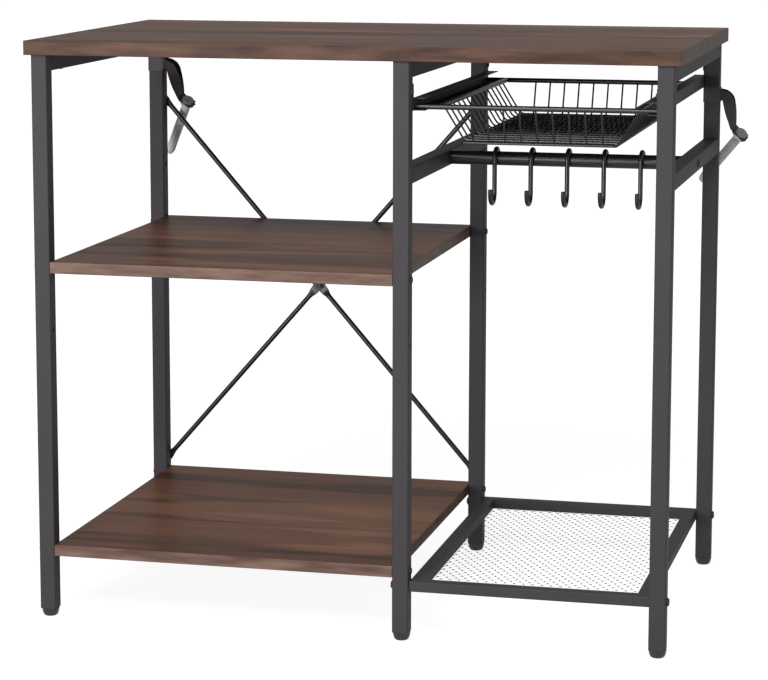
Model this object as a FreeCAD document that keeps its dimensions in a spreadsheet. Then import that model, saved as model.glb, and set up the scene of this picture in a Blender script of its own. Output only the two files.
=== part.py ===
import FreeCAD, Part
import Sketcher
import math
import os
import re

# A bakers rack: three welded side frames of square tube carry a tabletop, two shelf boards,
# an open mesh shelf, a pull-out wire basket and a bar with S hooks.
# X runs left to right, Y from front to back, Z up from the floor. Lengths are in millimetres.

os.makedirs("parts", exist_ok=True)
doc = FreeCAD.newDocument("BakersRack")
sheet = doc.addObject("Spreadsheet::Sheet", "Sheet")
Vector = FreeCAD.Vector
Rotation = FreeCAD.Rotation

# ---------------------------------------------------------------- driving sizes

SIZES = [
    ("top_width", 1000, "tabletop, left to right"),
    ("top_depth", 600, "tabletop, front to back"),
    ("top_thickness", 22, "tabletop board"),
    ("rack_height", 900, "floor to the tabletop's upper face"),
    ("board_round", 1, "rounding of every board's edges"),
    ("side_overhang", 10, "tabletop past the outer legs' faces"),
    ("front_overhang", 5, "tabletop past the legs' front and rear faces"),
    ("tube_side", 25, "square tube of legs and rails"),
    ("tube_wall", 1.2, "wall of the square tube"),
    ("tube_round", 2, "outer corner radius of the square tube"),
    ("right_bay", 365, "clear width between the middle and right legs"),
    ("hook_rail_drop", 133, "gap between the top rails and the hook rails"),
    ("shelf_thickness", 18, "shelf boards"),
    ("lower_shelf_height", 98.5, "floor to the lower shelf's underside"),
    ("middle_shelf_height", 543.5, "floor to the middle shelf's underside"),
    ("hole_step", 100, "spare shelf holes above and below the middle shelf's"),
    ("bolt_shank", 6, "machine bolts"),
    ("bolt_clearance", 0.25, "gap round a bolt in its clearance hole"),
    ("bolt_head", 11, "low-head bolts, diameter"),
    ("bolt_head_tall", 3, "low-head bolts, head height"),
    ("head_crown", 0.72, "flat top of a bolt or screw head, as a share of its diameter"),
    ("socket_size", 4, "hexagon socket, across corners"),
    ("socket_deep", 1.8, "hexagon socket, depth"),
    ("insert_diameter", 9, "threaded insert in a board's end"),
    ("insert_length", 15, "threaded insert in a board's end"),
    ("mesh_shelf_height", 77, "floor to the mesh shelf's underside"),
    ("mesh_shelf_setback", 5, "mesh shelf behind the legs' front faces"),
    ("mesh_rail_wide", 20, "rectangular tube of the mesh shelf, across"),
    ("mesh_rail_tall", 16, "rectangular tube of the mesh shelf, upright"),
    ("mesh_rail_round", 1.5, "outer corner radius of the rectangular tube"),
    ("mesh_bolt_head", 13, "mesh shelf bolts, head diameter"),
    ("mesh_bolt_head_tall", 3.8, "mesh shelf bolts, head height"),
    ("mesh_bolt_grip", 9, "mesh shelf bolt beyond the leg"),
    ("mesh_lift", 1, "shelf mesh above its frame's underside"),
    ("mesh_thickness", 1.2, "expanded mesh of the shelf"),
    ("mesh_pitch_across", 27.4, "shelf mesh, left to right, each diamond standing for a few fine ones"),
    ("mesh_pitch_back", 45.2, "shelf mesh, front to back, likewise"),
    ("mesh_strand", 1.5, "strand of the shelf mesh"),
    ("screw_spread", 400, "tabletop screws of one rail, centre to centre"),
    ("screw_shank", 4.5, "tabletop screws"),
    ("screw_head", 9, "tabletop screws, head diameter"),
    ("screw_head_tall", 2.5, "tabletop screws, head height"),
    ("screw_bite", 15, "tabletop screws, depth in the board"),
    ("foot_height", 13, "levelling foot below the leg"),
    ("foot_diameter", 27.5, "levelling foot"),
    ("foot_round", 5, "rounded lower edge of the levelling foot"),
    ("stud_diameter", 8, "levelling foot's stud"),
    ("stud_length", 32, "levelling foot's stud"),
    ("stud_clearance", 0.05, "running gap round the stud in its plug"),
    ("plug_length", 18, "threaded plug in a leg's lower end"),
    ("bar_diameter", 22, "hook bar"),
    ("bar_wall", 1.5, "wall of the hook bar"),
    ("bar_insert", 16, "threaded insert in the hook bar's end, length"),
    ("hook_count", 5, "S hooks"),
    ("hook_first", 73.3, "first hook from the bar's left end"),
    ("hook_pitch", 57.5, "hook to hook"),
    ("hook_wire", 7.5, "S hook wire"),
    ("hook_gap", 0.3, "gap between hook and bar"),
    ("hook_drop", 67.5, "bar axis to the lowest point of the hook's wire centre"),
    ("hook_curl", 16.8, "bend radius of the hook's lower end"),
    ("hook_tip_rise", 6.5, "straight tip above the lower bend"),
    ("hook_wrap", 25, "degrees that the upper bend goes below level at the back"),
    ("slide_drop", 30, "gap between the top rails and the basket slides"),
    ("slide_tall", 19, "basket slide channel, height"),
    ("slide_wide", 18, "basket slide channel, flange"),
    ("slide_wall", 1.2, "basket slide sheet"),
    ("slide_setback", 5, "basket slides behind the legs' front faces"),
    ("slide_ear_tall", 40, "screwed end of the slide, from its underside"),
    ("slide_ear_wide", 20, "screwed end of the slide, along its length"),
    ("slide_screw_head", 8, "slide screws, head diameter"),
    ("slide_screw_shank", 4, "slide screws"),
    ("slide_screw_bite", 8, "slide screws, depth in the leg"),
    ("rim_wire", 8, "basket rim"),
    ("rim_gap", 0.3, "gap between the rim and the slide under it"),
    ("rim_end_gap", 2, "rim wire's end to the leg's face"),
    ("rim_side_gap", 36, "side rim wires' centres to the legs' faces"),
    ("rim_setback", 33, "front rim wire behind the legs' front faces"),
    ("rim_rear_gap", 23, "rear rim wire before the legs' rear faces"),
    ("basket_depth", 54.5, "rim wire's centre to foot wire's centre"),
    ("side_flare", 30.5, "basket sides, from the foot wire out to the rim"),
    ("end_flare", 21, "basket front and rear, from the foot wire out to the rim"),
    ("floor_thickness", 1, "basket floor"),
    ("floor_pitch_across", 24, "basket floor, left to right, each diamond standing for a few fine ones"),
    ("floor_pitch_back", 40, "basket floor, front to back, likewise"),
    ("floor_strand", 4, "strand of the basket floor"),
    ("foot_wire", 4, "wire round the basket floor"),
    ("foot_wire_bend", 5, "corner radius of that wire"),
    ("fence_wire", 2.5, "upright wires of the basket"),
    ("end_wire_count", 9, "upright wires in the front, and in the rear"),
    ("end_wire_margin", 18.8, "the outermost of them from the foot wire's side runs"),
    ("side_wire_count", 15, "upright wires in each side"),
    ("side_wire_front", 26.1, "the foremost of them from the foot wire's front run"),
    ("side_wire_rear", 8.9, "the rearmost of them from the foot wire's rear run"),
    ("brace_top", 772, "upper brace bolts above the floor"),
    ("brace_foot", 124, "lower brace bolts above the floor"),
    ("rod_diameter", 8.5, "brace rods"),
    ("rod_gap", 0.3, "brace rods behind the legs' rear faces"),
    ("paddle_wide", 15, "flattened end of a brace rod"),
    ("paddle_thick", 1.6, "flattened end of a brace rod"),
    ("paddle_long", 18, "flattened end of a brace rod, past its bolt"),
    ("rod_lap", 4, "round rod past the start of its flattened end"),
    ("brace_bolt_grip", 10, "brace bolt beyond the flattened end"),
    ("nut_tall", 5, "nut at the crossing"),
    ("nut_wide", 11.5, "nut at the crossing, across corners"),
    ("strap_wide", 24, "anti-tip strap"),
    ("strap_thick", 1.2, "one layer of the anti-tip strap"),
    ("strand_wide", 18.5, "each half of the strap beyond its band"),
    ("strand_thick", 1.1, "each half of the strap beyond its band"),
    ("strap_reach", 45, "strap's eye to the right of the leg's axis"),
    ("strap_back", 25, "strap's eye behind the leg's axis"),
    ("strap_drop", 67, "strap's eye below its band"),
    ("strap_stand_off", 1.5, "strap's turn down from the leg's right face"),
    ("strap_bend", 13, "strap's turn down, on its middle line"),
    ("strap_fold", 1.5, "strap's last fold, just before its flat end"),
    ("strap_flat_front", 13.5, "flat part of the front half before its eye"),
    ("strap_flat_rear", 18, "flat part of the rear half before its eye, which the front half lies on"),
    ("strap_end", 12, "strap past its eye"),
    ("left_band_drop", 52, "left strap's band below the tabletop, to its middle"),
    ("left_plug_lean", 30, "left wall plug from upright, degrees to the left"),
    ("right_band_gap", 0.5, "gap between the right strap's band and the basket slide above it"),
    ("right_plug_lean", 40, "right wall plug from upright, degrees to the left"),
    ("plug_pitch", 31, "wall plugs, degrees to the rear"),
    ("wall_plug_diameter", 16, "wall plug"),
    ("wall_plug_length", 128, "wall plug with its collar"),
    ("wall_plug_collar", 26, "wall plug's collar, diameter"),
    ("wall_plug_collar_tall", 3.5, "wall plug's collar"),
    ("wall_plug_rib", 6, "wall plug's ribs, spacing"),
    ("wall_plug_rib_deep", 1, "wall plug's ribs, depth"),
    ("wall_plug_nose", 12, "wall plug beyond its last rib, at least"),
    ("wall_plug_tip", 10, "wall plug's tapered tip, diameter"),
    ("wall_screw_shank", 6, "wall screw"),
    ("wall_screw_length", 75, "wall screw"),
    ("wall_screw_head", 20, "wall screw's head, diameter"),
    ("wall_screw_head_tall", 4, "wall screw's head"),
    ("cut_over", 1, "how far a cutter runs past a face"),
]

# Places that follow from the driving sizes, measured from the tabletop's centre.
PLACES = [
    ("leg_top", "rack_height - top_thickness"),
    ("leg_length", "leg_top - foot_height"),
    ("right_x", "top_width / 2 - side_overhang - tube_side / 2"),
    ("left_x", "-right_x"),
    ("middle_x", "right_x - right_bay - tube_side"),
    ("rear_y", "top_depth / 2 - front_overhang - tube_side / 2"),
    ("front_y", "-rear_y"),
    ("frame_front", "front_y - tube_side / 2"),
    ("frame_rear", "rear_y + tube_side / 2"),
    ("rail_length", "rear_y - front_y - tube_side"),
    ("top_rail_z", "leg_top - tube_side / 2"),
    ("hook_rail_z", "top_rail_z - tube_side - hook_rail_drop"),
    ("left_bay_x", "(left_x + middle_x) / 2"),
    ("right_bay_x", "(middle_x + right_x) / 2"),
    ("right_bay_left", "middle_x + tube_side / 2"),
    ("right_bay_right", "right_x - tube_side / 2"),
    ("shelf_width", "middle_x - left_x - tube_side"),
    ("shelf_depth", "frame_rear - frame_front"),
    ("lower_bolt_z", "lower_shelf_height + shelf_thickness / 2"),
    ("middle_bolt_z", "middle_shelf_height + shelf_thickness / 2"),
    ("bolt_hole", "bolt_shank + 2 * bolt_clearance"),
    ("screw_hole", "screw_shank + 2 * bolt_clearance"),
    ("mesh_bolt_z", "mesh_shelf_height + mesh_rail_tall / 2"),
    ("mesh_front", "frame_front + mesh_shelf_setback"),
    ("mesh_side_length", "shelf_depth - 2 * mesh_shelf_setback"),
    ("mesh_opening_width", "right_bay - 2 * mesh_rail_wide"),
    ("mesh_opening_depth", "mesh_side_length - 2 * mesh_rail_wide"),
    ("slide_z", "leg_top - tube_side - slide_drop - slide_tall"),
    ("slide_screw_z", "slide_z + (slide_tall + slide_ear_tall) / 2"),
    ("slide_front", "frame_front + slide_setback"),
    ("slide_length", "shelf_depth - 2 * slide_setback"),
    ("rim_z", "slide_z + slide_wall + rim_gap + rim_wire / 2"),
    ("rim_front", "frame_front + rim_setback"),
    ("rim_width", "right_bay - 2 * rim_side_gap"),
    ("rim_depth", "shelf_depth - rim_setback - rim_rear_gap"),
    ("basket_y", "rim_front + rim_depth / 2"),
    ("foot_wire_z", "rim_z - basket_depth"),
    ("foot_wire_width", "rim_width - 2 * side_flare"),
    ("foot_wire_depth", "rim_depth - 2 * end_flare"),
    ("floor_width", "foot_wire_width - foot_wire"),
    ("floor_depth", "foot_wire_depth - foot_wire"),
    ("end_wire_pitch", "(foot_wire_width - 2 * end_wire_margin) / (end_wire_count - 1)"),
    ("side_wire_pitch", "(foot_wire_depth - side_wire_front - side_wire_rear) / (side_wire_count - 1)"),
    ("side_wire_shift", "(side_wire_front - side_wire_rear) / 2"),
    ("brace_z", "(brace_top + brace_foot) / 2"),
    ("brace_run", "(middle_x - left_x) / 2"),
    ("brace_rise", "(brace_top - brace_foot) / 2"),
    ("brace_length", "sqrt(brace_run ^ 2 + brace_rise ^ 2)"),
    ("brace_stack", "4 * paddle_thick"),
    ("left_band_z", "leg_top - left_band_drop"),
    ("right_band_z", "slide_z - right_band_gap - strap_wide / 2"),
    ("origin_x", "0"),
    ("origin_y", "0"),
]
NAMES = {entry[0] for entry in SIZES + PLACES}


def in_sheet(formula):
    """The formula with every name of the sheet written as a reference to its cell."""
    return re.sub(r"[a-z_]+", lambda word: "Sheet." + word[0] if word[0] in NAMES else word[0], formula)


for row, (alias, number, meaning) in enumerate(SIZES, start=1):
    sheet.set(f"A{row}", meaning)
    sheet.set(f"B{row}", str(number))
    sheet.setAlias(f"B{row}", alias)
for row, (alias, formula) in enumerate(PLACES, start=len(SIZES) + 1):
    sheet.set(f"B{row}", "=" + formula)
    sheet.setAlias(f"B{row}", alias)
doc.recompute()


def value(formula):
    """What a formula in the sheet's names comes to."""
    return float(sheet.evalExpression(in_sheet(formula)))


def bind(piece, **formulas):
    """Ties the piece's properties to the sheet."""
    for name, formula in formulas.items():
        piece.setExpression(name, in_sheet(formula))
    return piece


# Turns that lay a piece built along +Z in another direction.
UPRIGHT = Rotation()
TO_RIGHT = Rotation(Vector(0, 1, 0), 90)
TO_LEFT = Rotation(Vector(0, 1, 0), -90)
TO_REAR = Rotation(Vector(1, 0, 0), -90)
TO_FRONT = Rotation(Vector(1, 0, 0), 90)


def locate(piece, x, y, z, turn=UPRIGHT):
    """Places a piece by formulas, in the coordinates of the piece that it belongs to."""
    piece.Placement = FreeCAD.Placement(Vector(), turn)
    for axis, formula in zip("xyz", (x, y, z)):
        piece.setExpression("Placement.Base." + axis, in_sheet(formula))
    return piece


NODES = []


def node(piece, x="0", y="0", z="0", turn=UPRIGHT):
    """Stands a finished sub-part in the rack, measured from the rack's own origin."""
    NODES.append(piece)
    return locate(piece, f"({x}) - origin_x", f"({y}) - origin_y", z, turn)


# ---------------------------------------------------------------- building blocks


def origin_sketch(body, role):
    """A new sketch on one of the body's own origin planes."""
    sketch = body.newObject("Sketcher::SketchObject", body.Name + "_sketch")
    plane = next(feature for feature in body.Origin.OriginFeatures if feature.Role == role)
    sketch.AttachmentSupport = [(plane, "")]
    sketch.MapMode = "FlatFace"
    return sketch


def draw_rectangle(sketch, wide, deep):
    """A rectangle centred on the sketch's origin, its two sizes bound to the sheet."""
    across, back = value(wide) / 2, value(deep) / 2
    corners = [(-across, -back), (across, -back), (across, back), (-across, back)]
    first = sketch.GeometryCount
    for start, end in zip(corners, corners[1:] + corners[:1]):
        sketch.addGeometry(Part.LineSegment(Vector(*start, 0), Vector(*end, 0)))
    for side in range(4):
        following = first + (side + 1) % 4
        sketch.addConstraint(Sketcher.Constraint("Coincident", first + side, 2, following, 1))
        direction = "Vertical" if side % 2 else "Horizontal"
        sketch.addConstraint(Sketcher.Constraint(direction, first + side))
    sketch.addConstraint(Sketcher.Constraint("Symmetric", first, 1, first + 1, 2, -1, 1))
    width = sketch.addConstraint(Sketcher.Constraint("DistanceX", first, 1, first, 2, 2 * across))
    depth = sketch.addConstraint(Sketcher.Constraint("DistanceY", first + 1, 1, first + 1, 2, 2 * back))
    sketch.setExpression(f"Constraints[{width}]", in_sheet(wide))
    sketch.setExpression(f"Constraints[{depth}]", in_sheet(deep))


def edges_where(shape, test):
    """Names of the shape's edges whose vertices all pass the test."""
    return [f"Edge{index}" for index, edge in enumerate(shape.Edges, start=1)
            if all(test(vertex.Point) for vertex in edge.Vertexes)]


def pad_body(name, rectangles, length):
    """A body with one pad of nested rectangles, along Z from 0."""
    body = doc.addObject("PartDesign::Body", name)
    sketch = origin_sketch(body, "XY_Plane")
    for wide, deep in rectangles:
        draw_rectangle(sketch, wide, deep)
    pad = bind(body.newObject("PartDesign::Pad", name + "_pad"), Length=length)
    pad.Profile = sketch
    doc.recompute()
    return body, pad


def tube(name, wide, deep, rounding, length, wall="tube_wall"):
    """Rectangular tube along Z from 0, centred on the axis, with rounded outer corners."""
    inside = (f"{wide} - 2 * {wall}", f"{deep} - 2 * {wall}")
    body, pad = pad_body(name, [(wide, deep), inside], length)
    across, back = value(wide) / 2, value(deep) / 2
    corners = edges_where(pad.Shape, lambda point: math.isclose(abs(point.x), across)
                          and math.isclose(abs(point.y), back))
    upright = [corner for corner in corners
               if math.isclose(abs(pad.Shape.getElement(corner).tangentAt(0).z), 1)]
    fillet = bind(body.newObject("PartDesign::Fillet", name + "_corners"), Radius=rounding)
    fillet.Base = (pad, upright)
    return body


def board(name, wide, deep, thick):
    """A board centred on the axis, its underside at z = 0, with every edge rounded."""
    body, pad = pad_body(name, [(wide, deep)], thick)
    fillet = bind(body.newObject("PartDesign::Fillet", name + "_edges"), Radius="board_round")
    fillet.Base = (pad, edges_where(pad.Shape, lambda point: True))
    return body


def cylinder(name, diameter, length):
    """A round bar along Z from 0."""
    return bind(doc.addObject("Part::Cylinder", name), Radius=f"({diameter}) / 2", Height=length)


def block(name, wide, deep, tall):
    """A block with one corner at the origin."""
    return bind(doc.addObject("Part::Box", name), Length=wide, Width=deep, Height=tall)


def group(name, pieces):
    """Separate solids kept as one object."""
    compound = doc.addObject("Part::Compound", name)
    compound.Links = pieces
    return compound


def join(name, pieces):
    """Pieces fused into one solid."""
    fused = doc.addObject("Part::MultiFuse", name)
    fused.Shapes = pieces
    return fused


def cut(name, base, tools):
    """The base less its tools."""
    result = doc.addObject("Part::Cut", name)
    result.Base = base
    result.Tool = tools[0] if len(tools) == 1 else group(name + "_cutters", tools)
    return result


def bolt(name, head, head_tall, shank, length):
    """A bolt driven along +Z: head under z = 0 with a hexagon socket, shank above it."""
    button = bind(doc.addObject("Part::Cone", name + "_button"), Radius1=f"{head} * head_crown / 2",
                  Radius2=f"{head} / 2", Height=head_tall)
    locate(button, "0", "0", f"-({head_tall})")
    stem = cylinder(name + "_stem", shank, length)
    blank = join(name + "_blank", [button, stem])
    socket = bind(doc.addObject("Part::Prism", name + "_socket"), Circumradius="socket_size / 2",
                  Height="socket_deep + cut_over")
    locate(socket, "0", "0", f"-({head_tall}) - cut_over")
    return cut(name, blank, [socket])


def rounded_wire(points, radius, closed=False):
    """Straight runs through the points, joined by arcs of one radius."""
    count = len(points)
    bends = []
    for index in range(0 if closed else 1, count if closed else count - 1):
        here = points[index]
        before = (points[index - 1] - here).normalize()
        after = (points[(index + 1) % count] - here).normalize()
        half = before.getAngle(after) / 2
        centre = here + (before + after).normalize() * (radius / math.sin(half))
        crown = centre + (here - centre).normalize() * radius
        setback = radius / math.tan(half)
        bends.append((here + before * setback, crown, here + after * setback))
    edges = [Part.Arc(*bend).toShape() for bend in bends]
    stops = [] if closed else [points[0]]
    for start, _, end in bends:
        stops += [start, end]
    stops = stops[1:] + stops[:1] if closed else stops + [points[-1]]
    edges += [Part.LineSegment(stops[k], stops[k + 1]).toShape() for k in range(0, len(stops), 2)]
    return Part.Wire(Part.__sortEdges__(edges))


def swept(name, path, profile):
    """A solid swept along a wire from a closed profile at the wire's start."""
    solid = doc.addObject("Part::Feature", name)
    solid.Shape = path.makePipeShell([profile], True, False)
    return solid


def circle_at(path, diameter):
    """A circle across the wire's first edge, centred on its start."""
    first = path.OrderedEdges[0]
    start = path.OrderedVertexes[0].Point
    tangent = first.tangentAt(first.getParameterByLength(0))
    return Part.Wire(Part.makeCircle(diameter / 2, start, tangent))


def diamond_sheet(name, wide, deep, thick, pitch_across, pitch_back, strand):
    """Expanded mesh centred on the origin: staggered diamonds cut in a sheet with a plain border."""
    step_x, step_y = value(pitch_across), value(pitch_back)
    half_x, half_y = value(wide) / 2, value(deep) / 2
    slope = math.hypot(step_x, step_y)
    reach_x = step_x / 2 - value(strand) * slope / (2 * step_y)
    reach_y = step_y / 2 - value(strand) * slope / (2 * step_x)
    columns = int((half_x - value(strand) - reach_x) / (step_x / 2))
    rows = int((half_y - value(strand) - reach_y) / (step_y / 2))
    outline = [Vector(-half_x, -half_y, 0), Vector(half_x, -half_y, 0),
               Vector(half_x, half_y, 0), Vector(-half_x, half_y, 0)]
    wires = [Part.makePolygon(outline + outline[:1])]
    for column in range(-columns, columns + 1):
        for row in range(-rows, rows + 1):
            if (column + row) % 2:
                continue
            x, y = column * step_x / 2, row * step_y / 2
            hole = [Vector(x - reach_x, y, 0), Vector(x, y + reach_y, 0),
                    Vector(x + reach_x, y, 0), Vector(x, y - reach_y, 0)]
            wires.append(Part.makePolygon(hole + hole[:1]))
    mesh = doc.addObject("Part::Feature", name)
    mesh.Shape = Part.Face(wires).extrude(Vector(0, 0, value(thick)))
    return mesh


# ---------------------------------------------------------------- boards

tabletop = board("tabletop_board", "top_width", "top_depth", "top_thickness")
tabletop_holes = []
tabletop_screws = []
for side in ("left", "middle", "right"):
    for sign, end in (("-", "front"), ("+", "rear")):
        spot = f"{end}_{side}"
        hole = cylinder(f"{spot}_tabletop_hole", "screw_shank", "screw_bite + cut_over")
        tabletop_holes.append(locate(hole, f"{side}_x", f"{sign}screw_spread / 2", "-cut_over"))
        screw = bolt(f"{spot}_tabletop_screw", "screw_head", "screw_head_tall", "screw_shank",
                     "tube_side + screw_bite")
        tabletop_screws.append(locate(screw, f"{side}_x", f"{sign}screw_spread / 2",
                                      "leg_top - tube_side"))
node(cut("tabletop", tabletop, tabletop_holes), z="leg_top")
node(group("tabletop_screws", tabletop_screws))


def shelf(name, height):
    """A shelf board between the left and middle legs, with a blind hole for each insert."""
    blank = board(name + "_board", "shelf_width", "shelf_depth", "shelf_thickness")
    holes = []
    for end in ("front", "rear"):
        for sign, side, turn in (("-", "left", TO_RIGHT), ("+", "middle", TO_LEFT)):
            hole = cylinder(f"{name}_{end}_{side}_hole", "insert_diameter", "insert_length + cut_over")
            x = f"{sign}(shelf_width / 2 + cut_over)"
            holes.append(locate(hole, x, f"{end}_y", "shelf_thickness / 2", turn))
    node(cut(name, blank, holes), x="left_bay_x", z=height)


shelf("lower_shelf", "lower_shelf_height")
shelf("middle_shelf", "middle_shelf_height")

# Each shelf hangs on four bolts, which pass through the legs into threaded inserts.
shelf_bolts = []
shelf_inserts = []
for level in ("lower", "middle"):
    for end in ("front", "rear"):
        for side, face, turn in (("left", "-", TO_RIGHT), ("middle", "+", TO_LEFT)):
            spot = f"{level}_{end}_{side}"
            screw = bolt(spot + "_shelf_bolt", "bolt_head", "bolt_head_tall", "bolt_shank",
                         "tube_side + insert_length")
            x = f"{side}_x {face} tube_side / 2"
            shelf_bolts.append(locate(screw, x, f"{end}_y", f"{level}_bolt_z", turn))
            sleeve = cut(spot + "_insert", cylinder(spot + "_sleeve", "insert_diameter", "insert_length"),
                         [cylinder(spot + "_thread", "bolt_shank", "insert_length")])
            inner = f"{side}_x {'+' if face == '-' else '-'} tube_side / 2"
            shelf_inserts.append(locate(sleeve, inner, f"{end}_y", f"{level}_bolt_z", turn))
node(group("shelf_bolts", shelf_bolts))
node(group("shelf_inserts", shelf_inserts))

# ---------------------------------------------------------------- welded side frames


def leg_hole(name, height, diameter, turn, through):
    """A cutter for a hole in a leg: through both walls, or only through the one it points at."""
    start = "tube_side / 2 + cut_over" if through else "0"
    length = "tube_side + 2 * cut_over" if through else "tube_side / 2 + cut_over"
    drill = cylinder(name, diameter, length)
    x = f"-({start})" if turn is TO_RIGHT else "0"
    return locate(drill, x, "0", f"{height} - foot_height", turn)


def leg(end, side):
    """A leg with its shelf, mesh shelf, basket slide and brace holes."""
    name = f"{end}_{side}_leg"
    holes = []
    if side != "right":
        heights = ["lower_bolt_z", "middle_bolt_z", "middle_bolt_z - hole_step", "middle_bolt_z + hole_step"]
        holes += [(height, "bolt_hole", TO_RIGHT, True) for height in heights]
    if side != "left":
        holes.append(("mesh_bolt_z", "bolt_hole", TO_RIGHT, True))
        inward = TO_RIGHT if side == "middle" else TO_LEFT
        holes.append(("slide_screw_z", "slide_screw_shank", inward, False))
    if end == "rear" and side != "right":
        holes += [(height, "bolt_shank", TO_REAR, False) for height in ("brace_top", "brace_foot")]
    blank = tube(name + "_tube", "tube_side", "tube_side", "tube_round", "leg_length")
    drills = [leg_hole(f"{name}_hole_{number}", *hole) for number, hole in enumerate(holes, start=1)]
    node(cut(name, blank, drills), x=f"{side}_x", y=f"{end}_y", z="foot_height")


for side in ("left", "middle", "right"):
    for end in ("front", "rear"):
        leg(end, side)


def depth_rail(name, x, z, drills):
    """A rail welded between a front and a rear leg, with holes given along its length."""
    blank = tube(name + "_tube", "tube_side", "tube_side", "tube_round", "rail_length")
    node(cut(name, blank, drills), x=x, y="front_y + tube_side / 2", z=z, turn=TO_REAR)


for side in ("left", "middle", "right"):
    drills = []
    for sign in "-+":
        drill = cylinder(f"{side}_top_rail_hole_{len(drills)}", "screw_hole", "tube_side + 2 * cut_over")
        place = f"rail_length / 2 {sign} screw_spread / 2"
        drills.append(locate(drill, "0", "tube_side / 2 + cut_over", place, TO_FRONT))
    depth_rail(f"{side}_top_rail", f"{side}_x", "top_rail_z", drills)
for side in ("middle", "right"):
    drill = cylinder(f"{side}_hook_rail_hole", "bolt_hole", "tube_side + 2 * cut_over")
    locate(drill, "-tube_side / 2 - cut_over", "0", "rail_length / 2", TO_RIGHT)
    depth_rail(f"{side}_hook_rail", f"{side}_x", "hook_rail_z", [drill])

# ---------------------------------------------------------------- levelling feet

plugs = []
for side in ("left", "middle", "right"):
    for end in ("front", "rear"):
        spot = f"{end}_{side}"
        inside = "(tube_side - 2 * tube_wall)"
        filling = block(spot + "_plug_block", inside, inside, "plug_length")
        locate(filling, f"-{inside} / 2", f"-{inside} / 2", "0")
        bore = cylinder(spot + "_plug_bore", "stud_diameter + 2 * stud_clearance", "plug_length")
        plug = cut(spot + "_plug", filling, [bore])
        plugs.append(locate(plug, f"{side}_x", f"{end}_y", "foot_height"))

        pad = cylinder(spot + "_foot_pad", "foot_diameter", "foot_height")
        doc.recompute()
        lower_edge = next(index for index, edge in enumerate(pad.Shape.Edges, start=1)
                          if edge.Closed and abs(edge.CenterOfMass.z) < value("foot_round") / 2)
        glide = doc.addObject("Part::Fillet", spot + "_foot_glide")
        glide.Base = pad
        glide.Edges = [(lower_edge, value("foot_round"), value("foot_round"))]
        stud = cylinder(spot + "_foot_stud", "stud_diameter", "stud_length")
        locate(stud, "0", "0", "foot_height")
        node(join(spot + "_foot", [glide, stud]), x=f"{side}_x", y=f"{end}_y")
node(group("leg_plugs", plugs))

# ---------------------------------------------------------------- hook bar and hooks

bar = cut("hook_bar", cylinder("hook_bar_outside", "bar_diameter", "right_bay"),
          [cylinder("hook_bar_inside", "bar_diameter - 2 * bar_wall", "right_bay")])
node(bar, x="right_bay_left", z="hook_rail_z", turn=TO_RIGHT)

bar_bolts = []
bar_inserts = []
for side, face, turn in (("middle", "-", TO_RIGHT), ("right", "+", TO_LEFT)):
    screw = bolt(side + "_bar_bolt", "mesh_bolt_head", "bolt_head_tall", "bolt_shank",
                 "tube_side + bar_insert")
    bar_bolts.append(locate(screw, f"{side}_x {face} tube_side / 2", "0", "hook_rail_z", turn))
    filling = cylinder(side + "_bar_filling", "bar_diameter - 2 * bar_wall", "bar_insert")
    insert = cut(side + "_bar_insert", filling, [cylinder(side + "_bar_thread", "bolt_shank", "bar_insert")])
    inner = "right_bay_left" if side == "middle" else "right_bay_right"
    bar_inserts.append(locate(insert, inner, "0", "hook_rail_z", turn))
node(group("hook_bar_bolts", bar_bolts))
node(group("hook_bar_inserts", bar_inserts))


def hook_path():
    """The S hook's centre line in the YZ plane, with the bar's axis at the origin."""
    loop = value("bar_diameter / 2 + hook_gap + hook_wire / 2")
    curl = value("hook_curl")
    bend_z = curl - value("hook_drop")
    wrap = math.radians(value("hook_wrap"))
    back = Vector(0, loop * math.cos(wrap), -loop * math.sin(wrap))
    front = Vector(0, -loop, 0)
    lower = Vector(0, -loop, bend_z)
    bottom = Vector(0, -loop - curl, bend_z - curl)
    rise = Vector(0, -loop - 2 * curl, bend_z)
    tip = rise + Vector(0, 0, value("hook_tip_rise"))
    return Part.Wire([Part.Arc(back, Vector(0, 0, loop), front).toShape(),
                      Part.LineSegment(front, lower).toShape(),
                      Part.Arc(lower, bottom, rise).toShape(),
                      Part.LineSegment(rise, tip).toShape()])


path = hook_path()
for number in range(1, int(value("hook_count")) + 1):
    hook = swept(f"hook_{number}", path, circle_at(path, value("hook_wire")))
    node(hook, x=f"right_bay_left + hook_first + {number - 1} * hook_pitch", z="hook_rail_z")

# ---------------------------------------------------------------- basket slides


def basket_slide(side):
    """A sheet channel that opens towards the basket, with an ear over the leg's face at each end."""
    name = side + "_basket_slide"

    def plate(part, wide, deep, tall, y, z):
        piece = block(f"{name}_{part}", wide, deep, tall)
        return locate(piece, "0" if side == "middle" else "-" + wide, y, z)

    rear_ear = "slide_length - slide_ear_wide"
    plates = [
        plate("web", "slide_wall", "slide_length", "slide_tall", "0", "0"),
        plate("front_ear", "slide_wall", "slide_ear_wide", "slide_ear_tall", "0", "0"),
        plate("rear_ear", "slide_wall", "slide_ear_wide", "slide_ear_tall", rear_ear, "0"),
        plate("lower_flange", "slide_wide", rear_ear, "slide_wall", "slide_ear_wide", "0"),
        plate("upper_flange", "slide_wide", rear_ear, "slide_wall", "slide_ear_wide",
              "slide_tall - slide_wall"),
    ]
    holes = []
    for end in ("front", "rear"):
        hole = cylinder(f"{name}_{end}_hole", "slide_screw_shank", "2 * slide_wall + 2 * cut_over")
        holes.append(locate(hole, "-slide_wall - cut_over", f"{end}_y - slide_front",
                            "slide_screw_z - slide_z", TO_RIGHT))
    return cut(name, join(name + "_plates", plates), holes)


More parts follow.
